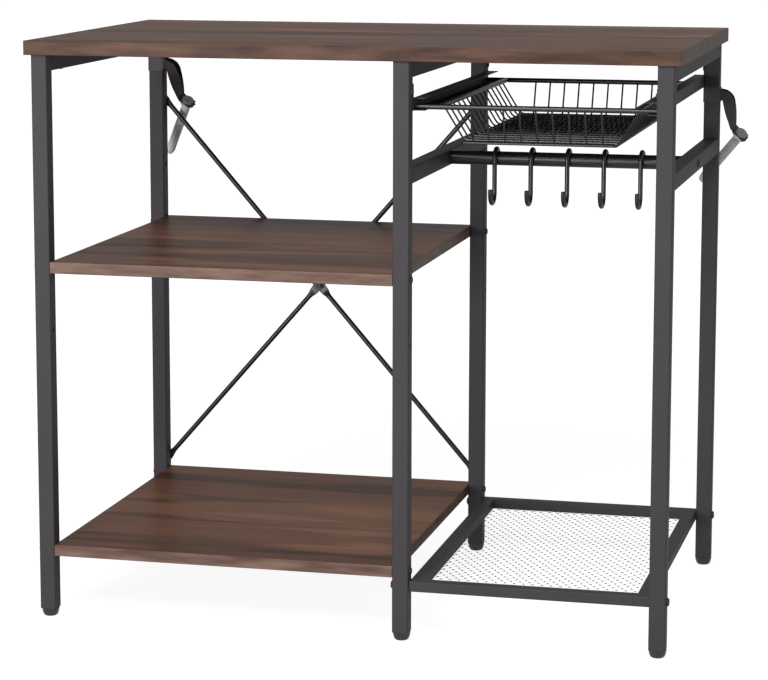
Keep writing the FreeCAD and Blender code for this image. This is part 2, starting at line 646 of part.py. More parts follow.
slide_screws = []
for side, inner, sign, turn in (("middle", "right_bay_left", "+", TO_LEFT),
                                ("right", "right_bay_right", "-", TO_RIGHT)):
    node(basket_slide(side), x=inner, y="slide_front", z="slide_z")
    for end in ("front", "rear"):
        screw = bolt(f"{end}_{side}_slide_screw", "slide_screw_head", "screw_head_tall",
                     "slide_screw_shank", "slide_wall + slide_screw_bite")
        slide_screws.append(locate(screw, f"{inner} {sign} slide_wall", f"{end}_y", "slide_screw_z", turn))
node(group("slide_screws", slide_screws))

# ---------------------------------------------------------------- basket


def wire_between(name, diameter, start, end):
    """A straight round wire between two points given in the basket's own coordinates."""
    run = end - start
    piece = cylinder(name, diameter, str(run.Length))
    piece.Placement = FreeCAD.Placement(start, Rotation(Vector(0, 0, 1), run))
    return piece


# The front and rear rim wires run on past the side wires and slide in the channels.
rims = {}
for end, sign in (("front", "-"), ("rear", "+")):
    wire = cylinder(f"basket_{end}_rim", "rim_wire", "right_bay - 2 * rim_end_gap")
    rims[end] = node(wire, x="right_bay_left + rim_end_gap", y=f"basket_y {sign} rim_depth / 2",
                     z="rim_z", turn=TO_RIGHT)
for side, sign in (("left", "-"), ("right", "+")):
    wire = cylinder(f"basket_{side}_rim", "rim_wire", "rim_depth - rim_wire")
    rims[side] = node(wire, x=f"right_bay_x {sign} rim_width / 2", y="rim_front + rim_wire / 2",
                      z="rim_z", turn=TO_REAR)


def foot_ring(name):
    """The closed wire round the basket floor, centred on the origin."""
    across, back = value("foot_wire_width") / 2, value("foot_wire_depth") / 2
    corners = [Vector(-across, -back, 0), Vector(across, -back, 0),
               Vector(across, back, 0), Vector(-across, back, 0)]
    path = rounded_wire(corners, value("foot_wire_bend"), closed=True)
    return swept(name, path, circle_at(path, value("foot_wire")))


def fence(end, count, pitch, shift="0"):
    """The flared upright wires of one side of the basket, trimmed to the rim and the foot wire."""
    name = f"basket_{end}_wires"
    along_x = end in ("front", "rear")
    sign = -1 if end in ("front", "left") else 1
    rim_out = sign * value("rim_depth" if along_x else "rim_width") / 2
    foot_out = sign * value("foot_wire_depth" if along_x else "foot_wire_width") / 2
    drop = value("basket_depth")
    wires = []
    for number in range(count):
        along = (number - (count - 1) / 2) * value(pitch) + value(shift)
        top = Vector(along, rim_out, 0) if along_x else Vector(rim_out, along, 0)
        foot = Vector(along, foot_out, -drop) if along_x else Vector(foot_out, along, -drop)
        wires.append(wire_between(f"{name}_{number + 1}", "fence_wire", top, foot))
    rim = cylinder(name + "_rim_cutter", "rim_wire", "right_bay" if along_x else "rim_depth")
    if along_x:
        locate(rim, "-right_bay / 2", str(rim_out), "0", TO_RIGHT)
    else:
        locate(rim, str(rim_out), "-rim_depth / 2", "0", TO_REAR)
    ring = foot_ring(name + "_foot_cutter")
    locate(ring, "0", "0", "-basket_depth")
    wires = cut(name, group(name + "_blanks", wires), [rim, ring])
    node(wires, x="right_bay_x", y="basket_y", z="rim_z")


for end in ("front", "rear"):
    fence(end, int(value("end_wire_count")), "end_wire_pitch")
for end in ("left", "right"):
    fence(end, int(value("side_wire_count")), "side_wire_pitch", "side_wire_shift")
node(foot_ring("basket_foot_wire"), x="right_bay_x", y="basket_y", z="foot_wire_z")
basket_floor = diamond_sheet("basket_floor", "floor_width", "floor_depth", "floor_thickness",
                             "floor_pitch_across", "floor_pitch_back", "floor_strand")
node(basket_floor, x="right_bay_x", y="basket_y", z="foot_wire_z - floor_thickness / 2")

# ---------------------------------------------------------------- mesh shelf


def mitres(name, length, inner):
    """Cutters that take both ends of a rail along Z to 45 degrees; inner points to its short side."""
    half, over = value("mesh_rail_wide") / 2, value("cut_over")
    through = inner.cross(Vector(0, 0, 1)) * value("mesh_rail_wide")
    corners = [(-half - over, -over), (half + over, -over), (half + over, 2 * half + over)]
    prisms = []
    for end, start, sense in (("near", 0, 1), ("far", value(length), -1)):
        points = [inner * across + Vector(0, 0, start + sense * along) - through
                  for across, along in corners]
        prism = doc.addObject("Part::Feature", f"{name}_{end}_mitre")
        prism.Shape = Part.Face(Part.makePolygon(points + points[:1])).extrude(through * 2)
        prisms.append(prism)
    return prisms


mesh_bolts = []
for side, sign, outward, x, inner in (
        ("left", "+", TO_LEFT, "right_bay_left", Vector(1, 0, 0)),
        ("right", "-", TO_RIGHT, "right_bay_right", Vector(-1, 0, 0))):
    name = f"mesh_shelf_{side}_rail"
    blank = tube(name + "_tube", "mesh_rail_wide", "mesh_rail_tall", "mesh_rail_round", "mesh_side_length")
    drills = mitres(name, "mesh_side_length", inner)
    for end in ("front", "rear"):
        drill = cylinder(f"{name}_{end}_hole", "bolt_shank", "mesh_rail_wide / 2 + cut_over")
        drills.append(locate(drill, "0", "0", f"{end}_y - mesh_front", outward))
        screw = bolt(f"{end}_{side}_mesh_bolt", "mesh_bolt_head", "mesh_bolt_head_tall", "bolt_shank",
                     "tube_side + mesh_bolt_grip")
        outer = f"{x} - tube_side" if side == "left" else f"{x} + tube_side"
        inward = TO_RIGHT if side == "left" else TO_LEFT
        mesh_bolts.append(locate(screw, outer, f"{end}_y", "mesh_bolt_z", inward))
    rail = cut(name, blank, drills)
    node(rail, x=f"{x} {sign} mesh_rail_wide / 2", y="mesh_front", z="mesh_bolt_z", turn=TO_REAR)
for end, y, inner in (
        ("front", "mesh_front + mesh_rail_wide / 2", Vector(0, 1, 0)),
        ("rear", "mesh_front + mesh_side_length - mesh_rail_wide / 2", Vector(0, -1, 0))):
    name = f"mesh_shelf_{end}_rail"
    blank = tube(name + "_tube", "mesh_rail_tall", "mesh_rail_wide", "mesh_rail_round", "right_bay")
    rail = cut(name, blank, mitres(name, "right_bay", inner))
    node(rail, x="right_bay_left", y=y, z="mesh_bolt_z", turn=TO_RIGHT)
shelf_mesh = diamond_sheet("shelf_mesh", "mesh_opening_width", "mesh_opening_depth", "mesh_thickness",
                           "mesh_pitch_across", "mesh_pitch_back", "mesh_strand")
node(shelf_mesh, x="right_bay_x", y="mesh_front + mesh_side_length / 2", z="mesh_shelf_height + mesh_lift")
node(group("mesh_shelf_bolts", mesh_bolts))

# ---------------------------------------------------------------- rear brace


def brace_rod(name, run, rise, level):
    """A rod from the crossing, with flattened ends; its inner end lies at a level of the stack."""
    rod = cylinder(name + "_rod", "rod_diameter", "brace_length - 2 * (paddle_long - rod_lap)")
    pieces = [locate(rod, "0", "rod_gap + rod_diameter / 2", "paddle_long - rod_lap")]
    drills = []
    for spot, height, base, offset in (("inner", "0", "0", f"{level} * paddle_thick"),
                                       ("outer", "brace_length", "brace_length - paddle_long", "0")):
        flat = block(f"{name}_{spot}_flat", "paddle_wide", "paddle_thick", "paddle_long")
        pieces.append(locate(flat, "-paddle_wide / 2", offset, base))
        round_end = cylinder(f"{name}_{spot}_end", "paddle_wide", "paddle_thick")
        pieces.append(locate(round_end, "0", offset, height, TO_REAR))
        drill = cylinder(f"{name}_{spot}_hole", "bolt_hole", "rod_gap + rod_diameter + 2 * cut_over")
        drills.append(locate(drill, "0", "-cut_over", height, TO_REAR))
    rod = cut(name, join(name + "_blank", pieces), drills)
    angle = math.degrees(math.atan2(run, rise))
    node(rod, x="left_bay_x", y="frame_rear", z="brace_z", turn=Rotation(Vector(0, 1, 0), angle))


brace_bolts = []
levels = iter(range(4))
for height, rise in (("upper", 1), ("lower", -1)):
    for side, run in (("left", -1), ("right", 1)):
        brace_rod(f"brace_{height}_{side}", run * value("brace_run"), rise * value("brace_rise"),
                  next(levels))
        screw = bolt(f"{height}_{side}_brace_bolt", "bolt_head", "bolt_head_tall", "bolt_shank",
                     "paddle_thick + brace_bolt_grip")
        x = "left_x" if side == "left" else "middle_x"
        z = "brace_top" if height == "upper" else "brace_foot"
        brace_bolts.append(locate(screw, x, "frame_rear + paddle_thick", z, TO_FRONT))
screw = bolt("crossing_bolt", "bolt_head", "bolt_head_tall", "bolt_shank", "brace_stack + nut_tall")
brace_bolts.append(locate(screw, "left_bay_x", "frame_rear + brace_stack", "brace_z", TO_FRONT))
blank = bind(doc.addObject("Part::Prism", "crossing_nut_blank"), Circumradius="nut_wide / 2",
             Height="nut_tall")
nut = cut("crossing_nut", blank, [cylinder("crossing_nut_thread", "bolt_shank", "nut_tall")])
brace_bolts.append(locate(nut, "left_bay_x", "frame_rear", "brace_z", TO_FRONT))
node(group("brace_bolts", brace_bolts))

# ---------------------------------------------------------------- anti-tip anchors


def plug_shape():
    """A ribbed wall plug along Z with a collar at z = 0 and a bore for its screw."""
    radius, bore = value("wall_plug_diameter") / 2, value("wall_screw_shank") / 2
    collar, length = value("wall_plug_collar_tall"), value("wall_plug_length")
    rib, deep = value("wall_plug_rib"), value("wall_plug_rib_deep")
    slope, foot = rib / 4, rib / 2
    outline = [(bore, 0), (value("wall_plug_collar") / 2, 0), (value("wall_plug_collar") / 2, collar),
               (radius, collar)]
    ribs = int((length - collar - value("wall_plug_nose")) / rib)
    for number in range(1, ribs + 1):
        top = collar + number * rib
        outline += [(radius, top), (radius - deep, top + slope), (radius - deep, top + foot)]
    outline += [(radius, collar + (ribs + 1) * rib), (value("wall_plug_tip") / 2, length), (0, length)]
    outline += [(0, value("wall_screw_length")), (bore, value("wall_screw_length"))]
    points = [Vector(across, 0, along) for across, along in outline]
    return Part.Face(Part.makePolygon(points + points[:1])).revolve(Vector(), Vector(0, 0, 1), 360)


def strap_half(name, front, eye, axis, flat_run):
    """One half of a strap: it leaves the leg on edge, turns down, twists and ends flat at its eye."""
    rightward, bend = Vector(1, 0, 0), value("strap_bend")
    start = Vector(0, front * value("(tube_side + strap_thick) / 2"), 0)
    corner = start + rightward * value("tube_side / 2 + strap_stand_off")
    arriving = (eye - axis * eye.dot(axis)).normalize()
    for _ in range(5):
        flat = eye - arriving * value(flat_run)
        down = Vector(0, flat.y - corner.y, flat.z - corner.z)
        reach, drop = flat.x - corner.x, down.Length - bend
        down.normalize()
        turn = math.atan2(drop, reach) + math.asin(bend / math.hypot(drop, reach))
        falling = rightward * math.cos(turn) + down * math.sin(turn)
        arriving = (falling - axis * falling.dot(axis)).normalize()
    places = [(start, rightward, Vector(0, 0, -1)), (corner, rightward, Vector(0, 0, -1))]
    for angle in (turn * step / 6 for step in range(1, 7)):
        spot = corner + rightward * (bend * math.sin(angle)) + down * (bend * (1 - math.cos(angle)))
        places.append((spot, rightward * math.cos(angle) + down * math.sin(angle),
                       down * math.cos(angle) - rightward * math.sin(angle)))
    bent, falling, across = places[-1]
    across_eye = axis.cross(arriving)
    for share in (step / 8 for step in range(1, 8)):
        places.append((bent + (flat - bent) * share, falling, across * (1 - share) + across_eye * share))
    places.append((flat - falling * value("strap_fold"), falling, across_eye))
    places.append((flat, arriving, across_eye))
    places.append((eye + arriving * value("strap_end"), arriving, across_eye))

    rings = []
    for spot, direction, across in places:
        across = (across - direction * across.dot(direction)).normalize()
        wide = across * value("strand_wide / 2")
        thick = direction.cross(across) * value("strand_thick / 2")
        rings.append([spot - wide - thick, spot + wide - thick, spot + wide + thick, spot - wide + thick])
    facets = [rings[0], rings[-1]]
    for first, second in zip(rings, rings[1:]):
        for k in range(4):
            near, far = (first, second) if k % 3 else (second, first)
            ring = [near[k - 1], near[k], far[k], far[k - 1]]
            facets += [[ring[0], ring[1], ring[2]], [ring[0], ring[2], ring[3]]]
    half = doc.addObject("Part::Feature", name)
    half.Shape = Part.Solid(Part.Shell([Part.Face(Part.makePolygon(f + f[:1])) for f in facets]))
    return half


screws = []
wall_plugs = []
for side in ("left", "right"):
    lean, pitch = math.radians(value(f"{side}_plug_lean")), math.radians(value("plug_pitch"))
    into_wall = Vector(-math.sin(lean) * math.cos(pitch), math.sin(pitch),
                       -math.cos(lean) * math.cos(pitch))
    eye = Vector(value("strap_reach"), value("strap_back"), -value("strap_drop"))
    layer = into_wall * value("strand_thick / 2")
    stack = into_wall * value("strand_thick")
    halves = [strap_half(side + "_strap_front_half", -1, eye - layer, into_wall, "strap_flat_front"),
              strap_half(side + "_strap_rear_half", 1, eye + layer, into_wall, "strap_flat_rear")]
    band = tube(side + "_strap_band", "(tube_side + 2 * strap_thick)", "(tube_side + 2 * strap_thick)",
                "tube_round", "strap_wide", "strap_thick")
    locate(band, "0", "0", "-strap_wide / 2")
    drill = cylinder(side + "_strap_eye", "wall_screw_shank", "2 * strap_thick + 2 * cut_over")
    turn = Rotation(Vector(0, 0, 1), into_wall)
    drill.Placement = FreeCAD.Placement(eye - into_wall * value("strap_thick + cut_over"), turn)
    strap = cut(side + "_anchor_strap", join(side + "_strap", [band] + halves), [drill])
    node(strap, x=f"{side}_x", y="rear_y", z=f"{side}_band_z")

    leg_axis = Vector(value(f"{side}_x"), value("rear_y"), value(f"{side}_band_z"))
    screw = bolt(side + "_wall_screw", "wall_screw_head", "wall_screw_head_tall", "wall_screw_shank",
                 "wall_screw_length")
    screw.Placement = FreeCAD.Placement(leg_axis + eye - stack, turn)
    screws.append(screw)
    plug = doc.addObject("Part::Feature", side + "_wall_plug")
    plug.Shape = plug_shape()
    plug.Placement = FreeCAD.Placement(leg_axis + eye + stack, turn)
    wall_plugs.append(plug)
node(group("anchor_screws", screws))
node(group("anchor_plugs", wall_plugs))

# ---------------------------------------------------------------- origin, checks and export

# The origin is the middle of the rack's footprint, straps and wall plugs included, on the floor.
doc.recompute()
footprint = FreeCAD.BoundBox()
for piece in NODES:
    footprint.add(piece.Shape.optimalBoundingBox(False, False))
sheet.set(sheet.getCellFromAlias("origin_x"), str(footprint.Center.x))
sheet.set(sheet.getCellFromAlias("origin_y"), str(footprint.Center.y))
doc.recompute()

for piece in doc.Objects:
    if {"Invalid", "Error"} & set(piece.State):
        raise RuntimeError(f"{piece.Label} did not build: {piece.State}")
for piece in NODES:
    if piece.Shape.isNull() or not piece.Shape.isValid():
        raise RuntimeError(f"{piece.Label} has no valid shape")
for piece in NODES:
    piece.Shape.exportStep(f"parts/{piece.Label}.step")
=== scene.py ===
import math
import bmesh
import bpy
from mathutils import Matrix, Vector


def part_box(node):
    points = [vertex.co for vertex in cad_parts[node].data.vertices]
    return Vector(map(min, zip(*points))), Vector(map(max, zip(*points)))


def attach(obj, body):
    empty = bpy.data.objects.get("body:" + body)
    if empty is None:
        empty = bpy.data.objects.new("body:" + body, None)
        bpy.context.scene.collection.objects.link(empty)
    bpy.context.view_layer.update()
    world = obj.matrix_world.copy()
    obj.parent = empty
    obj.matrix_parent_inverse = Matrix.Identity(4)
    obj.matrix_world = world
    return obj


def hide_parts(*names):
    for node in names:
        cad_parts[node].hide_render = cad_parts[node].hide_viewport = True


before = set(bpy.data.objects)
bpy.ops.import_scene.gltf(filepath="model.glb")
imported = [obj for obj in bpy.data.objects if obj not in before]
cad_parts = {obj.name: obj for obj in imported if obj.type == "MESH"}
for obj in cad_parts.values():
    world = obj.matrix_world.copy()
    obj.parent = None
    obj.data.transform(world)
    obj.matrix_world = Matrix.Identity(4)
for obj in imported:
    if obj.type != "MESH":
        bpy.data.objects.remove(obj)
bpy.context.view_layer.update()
scene = bpy.context.scene
scene.view_settings.view_transform = "Standard"

# ---------------------------------------------------------------- camera
# A long lens at standing height, in front of the right bay and looking a little down, so that the
# upright tubes stay nearly parallel.

STAND_RIGHT = 0.9907
STAND_FRONT = 4.1637
STAND_HIGH = 1.1563
TILT = math.radians(81.30)
TURN = math.radians(14.07)
camera_data = bpy.data.cameras.new("camera")
camera_data.lens = 126.88
camera_data.sensor_width = 36
camera_data.shift_x = 0.035
camera_data.shift_y = -0.0734
camera = bpy.data.objects.new("camera", camera_data)
top_low, top_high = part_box("tabletop")
top_middle = (top_low + top_high) / 2
camera.location = (top_middle.x + STAND_RIGHT, top_middle.y - STAND_FRONT, STAND_HIGH)
camera.rotation_euler = (TILT, 0, TURN)
scene.collection.objects.link(camera)
scene.camera = camera

# ---------------------------------------------------------------- room
# A pale studio floor that runs into a white backdrop, a broad soft light in front to the left, a
# second one above it, and a narrow one far to the right that draws a line along rounded corners.


def add(tree, kind, inputs=None, **settings):
    """A new node of the tree. Each input takes a number or another node's output."""
    made = tree.nodes.new(kind)
    for name, setting in settings.items():
        setattr(made, name, setting)
    for name, given in (inputs or {}).items():
        if isinstance(given, bpy.types.NodeSocket):
            tree.links.new(given, made.inputs[name])
        else:
            made.inputs[name].default_value = given
    return made


def calculate(tree, operation, *values, clamp=False):
    """One step of arithmetic in a node tree, as its output."""
    return add(tree, "ShaderNodeMath", dict(enumerate(values)), operation=operation,
               use_clamp=clamp).outputs[0]


AMBIENT = 0.16
REFLECTED = 0.35
FLOOR_SHADE = 0.42
FLOOR_GLOW = 0.91
FADE_START = 0.9
FADE_END = 2.6
WHITE = (1, 1, 1, 1)

world = bpy.data.worlds.new("studio")
world.use_nodes = True
scene.world = world
tree = world.node_tree
tree.nodes.clear()
path = add(tree, "ShaderNodeLightPath")
mirrored = calculate(tree, "MAXIMUM", path.outputs["Is Glossy Ray"], path.outputs["Is Transmission Ray"])
seen = calculate(tree, "MULTIPLY_ADD", path.outputs["Is Camera Ray"], 1 - AMBIENT, AMBIENT)
strength = calculate(tree, "MULTIPLY_ADD", mirrored, REFLECTED - AMBIENT, seen)
backdrop = add(tree, "ShaderNodeBackground", {"Color": WHITE, "Strength": strength})
add(tree, "ShaderNodeOutputWorld", {"Surface": backdrop.outputs[0]})

floor_material = bpy.data.materials.new("studio_floor")
floor_material.use_nodes = True
tree = floor_material.node_tree
tree.nodes.clear()
path = add(tree, "ShaderNodeLightPath")
mirrored = calculate(tree, "MAXIMUM", path.outputs["Is Glossy Ray"], path.outputs["Is Transmission Ray"])
place = add(tree, "ShaderNodeTexCoord").outputs["Object"]
distance = add(tree, "ShaderNodeVectorMath", {0: place}, operation="LENGTH").outputs["Value"]
glow = add(tree, "ShaderNodeMapRange", {"Value": distance, "From Min": FADE_START,
                                        "From Max": FADE_END, "To Min": FLOOR_GLOW, "To Max": 1},
           interpolation_type="SMOOTHSTEP")
in_view = calculate(tree, "MULTIPLY", path.outputs["Is Camera Ray"], glow.outputs["Result"])
strength = calculate(tree, "MULTIPLY_ADD", mirrored, REFLECTED, in_view)
shade = add(tree, "ShaderNodeBsdfDiffuse", {"Color": (FLOOR_SHADE, FLOOR_SHADE, FLOOR_SHADE, 1)})
light = add(tree, "ShaderNodeEmission", {"Color": WHITE, "Strength": strength})
both = add(tree, "ShaderNodeAddShader", {0: shade.outputs[0], 1: light.outputs[0]})
add(tree, "ShaderNodeOutputMaterial", {"Surface": both.outputs[0]})

MM = 0.001
FLOOR_REACH = 30
FLOOR_GAP = 0.2 * MM
corners = [(x * FLOOR_REACH, y * FLOOR_REACH, -FLOOR_GAP)
           for x, y in ((-1, -1), (1, -1), (1, 1), (-1, 1))]
floor_mesh = bpy.data.meshes.new("floor")
floor_mesh.from_pydata(corners, [], [(0, 1, 2, 3)])
floor_mesh.materials.append(floor_material)
floor = bpy.data.objects.new("floor", floor_mesh)
scene.collection.objects.link(floor)


def soft_light(name, place, target, wide, tall, power):
    """A rectangular lamp that faces a point."""
    lamp = bpy.data.lights.new(name, "AREA")
    lamp.shape = "RECTANGLE"
    lamp.size = wide
    lamp.size_y = tall
    lamp.energy = power
    holder = bpy.data.objects.new(name, lamp)
    holder.location = place
    holder.rotation_euler = (Vector(target) - Vector(place)).to_track_quat("-Z", "Y").to_euler()
    holder.visible_camera = False
    scene.collection.objects.link(holder)


soft_light("front_light", place=(-2.4, -6.6, 0.9), target=(0, 0, 0.45), wide=3.2, tall=2.0, power=178)
soft_light("upper_light", place=(-0.1, -2.9, 2.6), target=(0, 0, 0.45), wide=2.4, tall=1.2, power=75)
soft_light("edge_light", place=(2.6, -1.1, 0.8), target=(0, 0, 0.5), wide=0.25, tall=1.8, power=5)

# ---------------------------------------------------------------- side frames
# Six legs and five depth rails of 25 mm square steel tube, cut square and butt-welded into three
# frames, then coated with a charcoal powder that dries to a fine satin grain.


def new_group(name, inputs, outputs, kind="ShaderNodeTree"):
    """An empty node group with named sockets, then what comes in and what has to go out."""
    group = bpy.data.node_groups.new(name, kind)
    for way, sockets in (("INPUT", inputs), ("OUTPUT", outputs)):
        for socket, carried in sockets.items():
            group.interface.new_socket(socket, in_out=way, socket_type="NodeSocket" + carried)
    return group, group.nodes.new("NodeGroupInput").outputs, group.nodes.new("NodeGroupOutput").inputs


FLECK_SHARE = 0.4


def powder_grain_group():
    """Fine dimples of a sprayed coat, and a slow drift of tone where it lies thicker."""
    group, given, result = new_group("powder_grain", {"Vector": "Vector", "Grains": "Float"},
                                     {"Tone": "Float", "Height": "Float"})
    drift = add(group, "ShaderNodeTexNoise", {"Vector": given["Vector"], "Scale": 9, "Detail": 3})
    fleck = add(group, "ShaderNodeTexNoise", {"Vector": given["Vector"], "Scale": given["Grains"],
                                              "Detail": 1})
    tone = calculate(group, "MULTIPLY_ADD", fleck.outputs["Fac"], FLECK_SHARE,
                     calculate(group, "MULTIPLY", drift.outputs["Fac"], 1 - FLECK_SHARE))
    group.links.new(tone, result["Tone"])
    group.links.new(fleck.outputs["Fac"], result["Height"])
    return group


POWDER_GRAIN = powder_grain_group()


def srgb(red, green, blue):
    """A colour given as screen values of 0 to 255, as linear light."""
    def linear(screen):
        share = screen / 255
        return share / 12.92 if share <= 0.04045 else ((share + 0.055) / 1.055) ** 2.4
    return linear(red), linear(green), linear(blue), 1


def blend_colours(tree, share, first, second):
    """The first colour where the share is 0, the second where it is 1."""
    mixed = add(tree, "ShaderNodeMix", {"Factor": share, 6: first, 7: second}, data_type="RGBA")
    return mixed.outputs[2]


ROUGH_SPREAD = 0.06
GRAIN_DEPTH = 0.1 * MM


def coated_metal(name, dark, light, rough, gloss, grains=900.0, bump=0.05):
    """Steel under a powder or dip coat, its grain in the colour, the roughness and the relief."""
    material = bpy.data.materials.new(name)
    material.use_nodes = True
    tree = material.node_tree
    shader = tree.nodes["Principled BSDF"]
    place = add(tree, "ShaderNodeTexCoord").outputs["Object"]
    grain = add(tree, "ShaderNodeGroup", node_tree=POWDER_GRAIN)
    tree.links.new(place, grain.inputs["Vector"])
    grain.inputs["Grains"].default_value = grains
    tree.links.new(blend_colours(tree, grain.outputs["Tone"], dark, light), shader.inputs["Base Color"])
    spread = add(tree, "ShaderNodeMapRange", {"Value": grain.outputs["Height"],
                                              "To Min": rough - ROUGH_SPREAD,
                                              "To Max": rough + ROUGH_SPREAD})
    tree.links.new(spread.outputs["Result"], shader.inputs["Roughness"])
    relief = add(tree, "ShaderNodeBump", {"Height": grain.outputs["Height"], "Strength": bump,
                                          "Distance": GRAIN_DEPTH})
    tree.links.new(relief.outputs["Normal"], shader.inputs["Normal"])
    shader.inputs["Specular IOR Level"].default_value = gloss
    return material


FRAME_COAT = coated_metal("frame_powder_coat", srgb(59, 56, 60), srgb(77, 74, 78), 0.5, 0.22)

SIDES = ("left", "middle", "right")
ENDS = ("front", "rear")
LEGS = [f"{end}_{side}_leg" for side in SIDES for end in ENDS]
DEPTH_RAILS = [f"{side}_top_rail" for side in SIDES] + ["middle_hook_rail", "right_hook_rail"]


def coat_nodes(names, material):
    """Gives the frame's own nodes their finish."""
    for name in names:
        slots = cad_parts[name].data.materials
        slots.clear()
        slots.append(material)


coat_nodes(LEGS + DEPTH_RAILS, FRAME_COAT)

# ---------------------------------------------------------------- boards
# The tabletop and two shelves are chipboard under a walnut-pattern melamine foil: staves of
# differing tone with a long wavy figure, and an edge band with slanted blotches.

STAVE_JUMP = 7.0
RING_COUNT = 30.0
RING_SHARE = 0.15
GROWTH_SHARE = 2.1
GROWTH_START = -0.55
FIBRE_STRETCH = (9.0, 260.0, 260.0)


def walnut_figure_group():
    """Staves along X, each with its own tone, and inside them a wavy figure, fibres and pores."""
    group, given, result = new_group(
        "walnut_figure", {"Vector": "Vector", "Stave": "Float", "Figure Stretch": "Float"},
        {"Figure": "Float", "Stave Tone": "Float", "Fibre": "Float"})
    parts = add(group, "ShaderNodeSeparateXYZ", {0: given["Vector"]}).outputs
    stave = calculate(group, "FLOOR", calculate(group, "DIVIDE", parts["Y"], given["Stave"]))
    luck = add(group, "ShaderNodeTexWhiteNoise", {"W": stave}, noise_dimensions="1D")
    shifted = add(group, "ShaderNodeCombineXYZ", {
        "X": calculate(group, "MULTIPLY_ADD", luck.outputs["Value"], STAVE_JUMP, parts["X"]),
        "Y": calculate(group, "MULTIPLY", parts["Y"], given["Figure Stretch"]),
        "Z": calculate(group, "MULTIPLY", parts["Z"], given["Figure Stretch"])}).outputs[0]
    growth = add(group, "ShaderNodeTexNoise", {"Vector": shifted, "Scale": 1.7, "Detail": 2,
                                               "Distortion": 0.5})
    rings = calculate(group, "SINE", calculate(group, "MULTIPLY", growth.outputs["Fac"], RING_COUNT))
    figure = calculate(group, "MULTIPLY_ADD", growth.outputs["Fac"], GROWTH_SHARE, GROWTH_START)
    figure = calculate(group, "MULTIPLY_ADD", rings, RING_SHARE, figure)
    along = add(group, "ShaderNodeVectorMath", {0: given["Vector"], 1: FIBRE_STRETCH},
                operation="MULTIPLY").outputs[0]
    fibre = add(group, "ShaderNodeTexNoise", {"Vector": along, "Scale": 1, "Detail": 3})
    group.links.new(figure, result["Figure"])
    group.links.new(luck.outputs["Value"], result["Stave Tone"])
    group.links.new(fibre.outputs["Fac"], result["Fibre"])
    return group


WALNUT_FIGURE = walnut_figure_group()
WALNUT_DARK = srgb(70, 43, 30)
WALNUT_MID = srgb(112, 74, 54)
WALNUT_LIGHT = srgb(147, 100, 73)
FIGURE_STRETCH = 8.0
FIBRE_SHARE = 0.3
STAVE_SHARE = 0.34
PLANK_WAVE = 0.09
PLANK_BLUR = 0.012
BAND_SLANT = math.radians(-14)
BAND_STRETCH = (11, 11, 70)
LEVEL_FROM = 0.6
FOIL_BUMP = 0.12
FOIL_DEPTH = 0.2 * MM
FOIL_GLOSS = 0.12


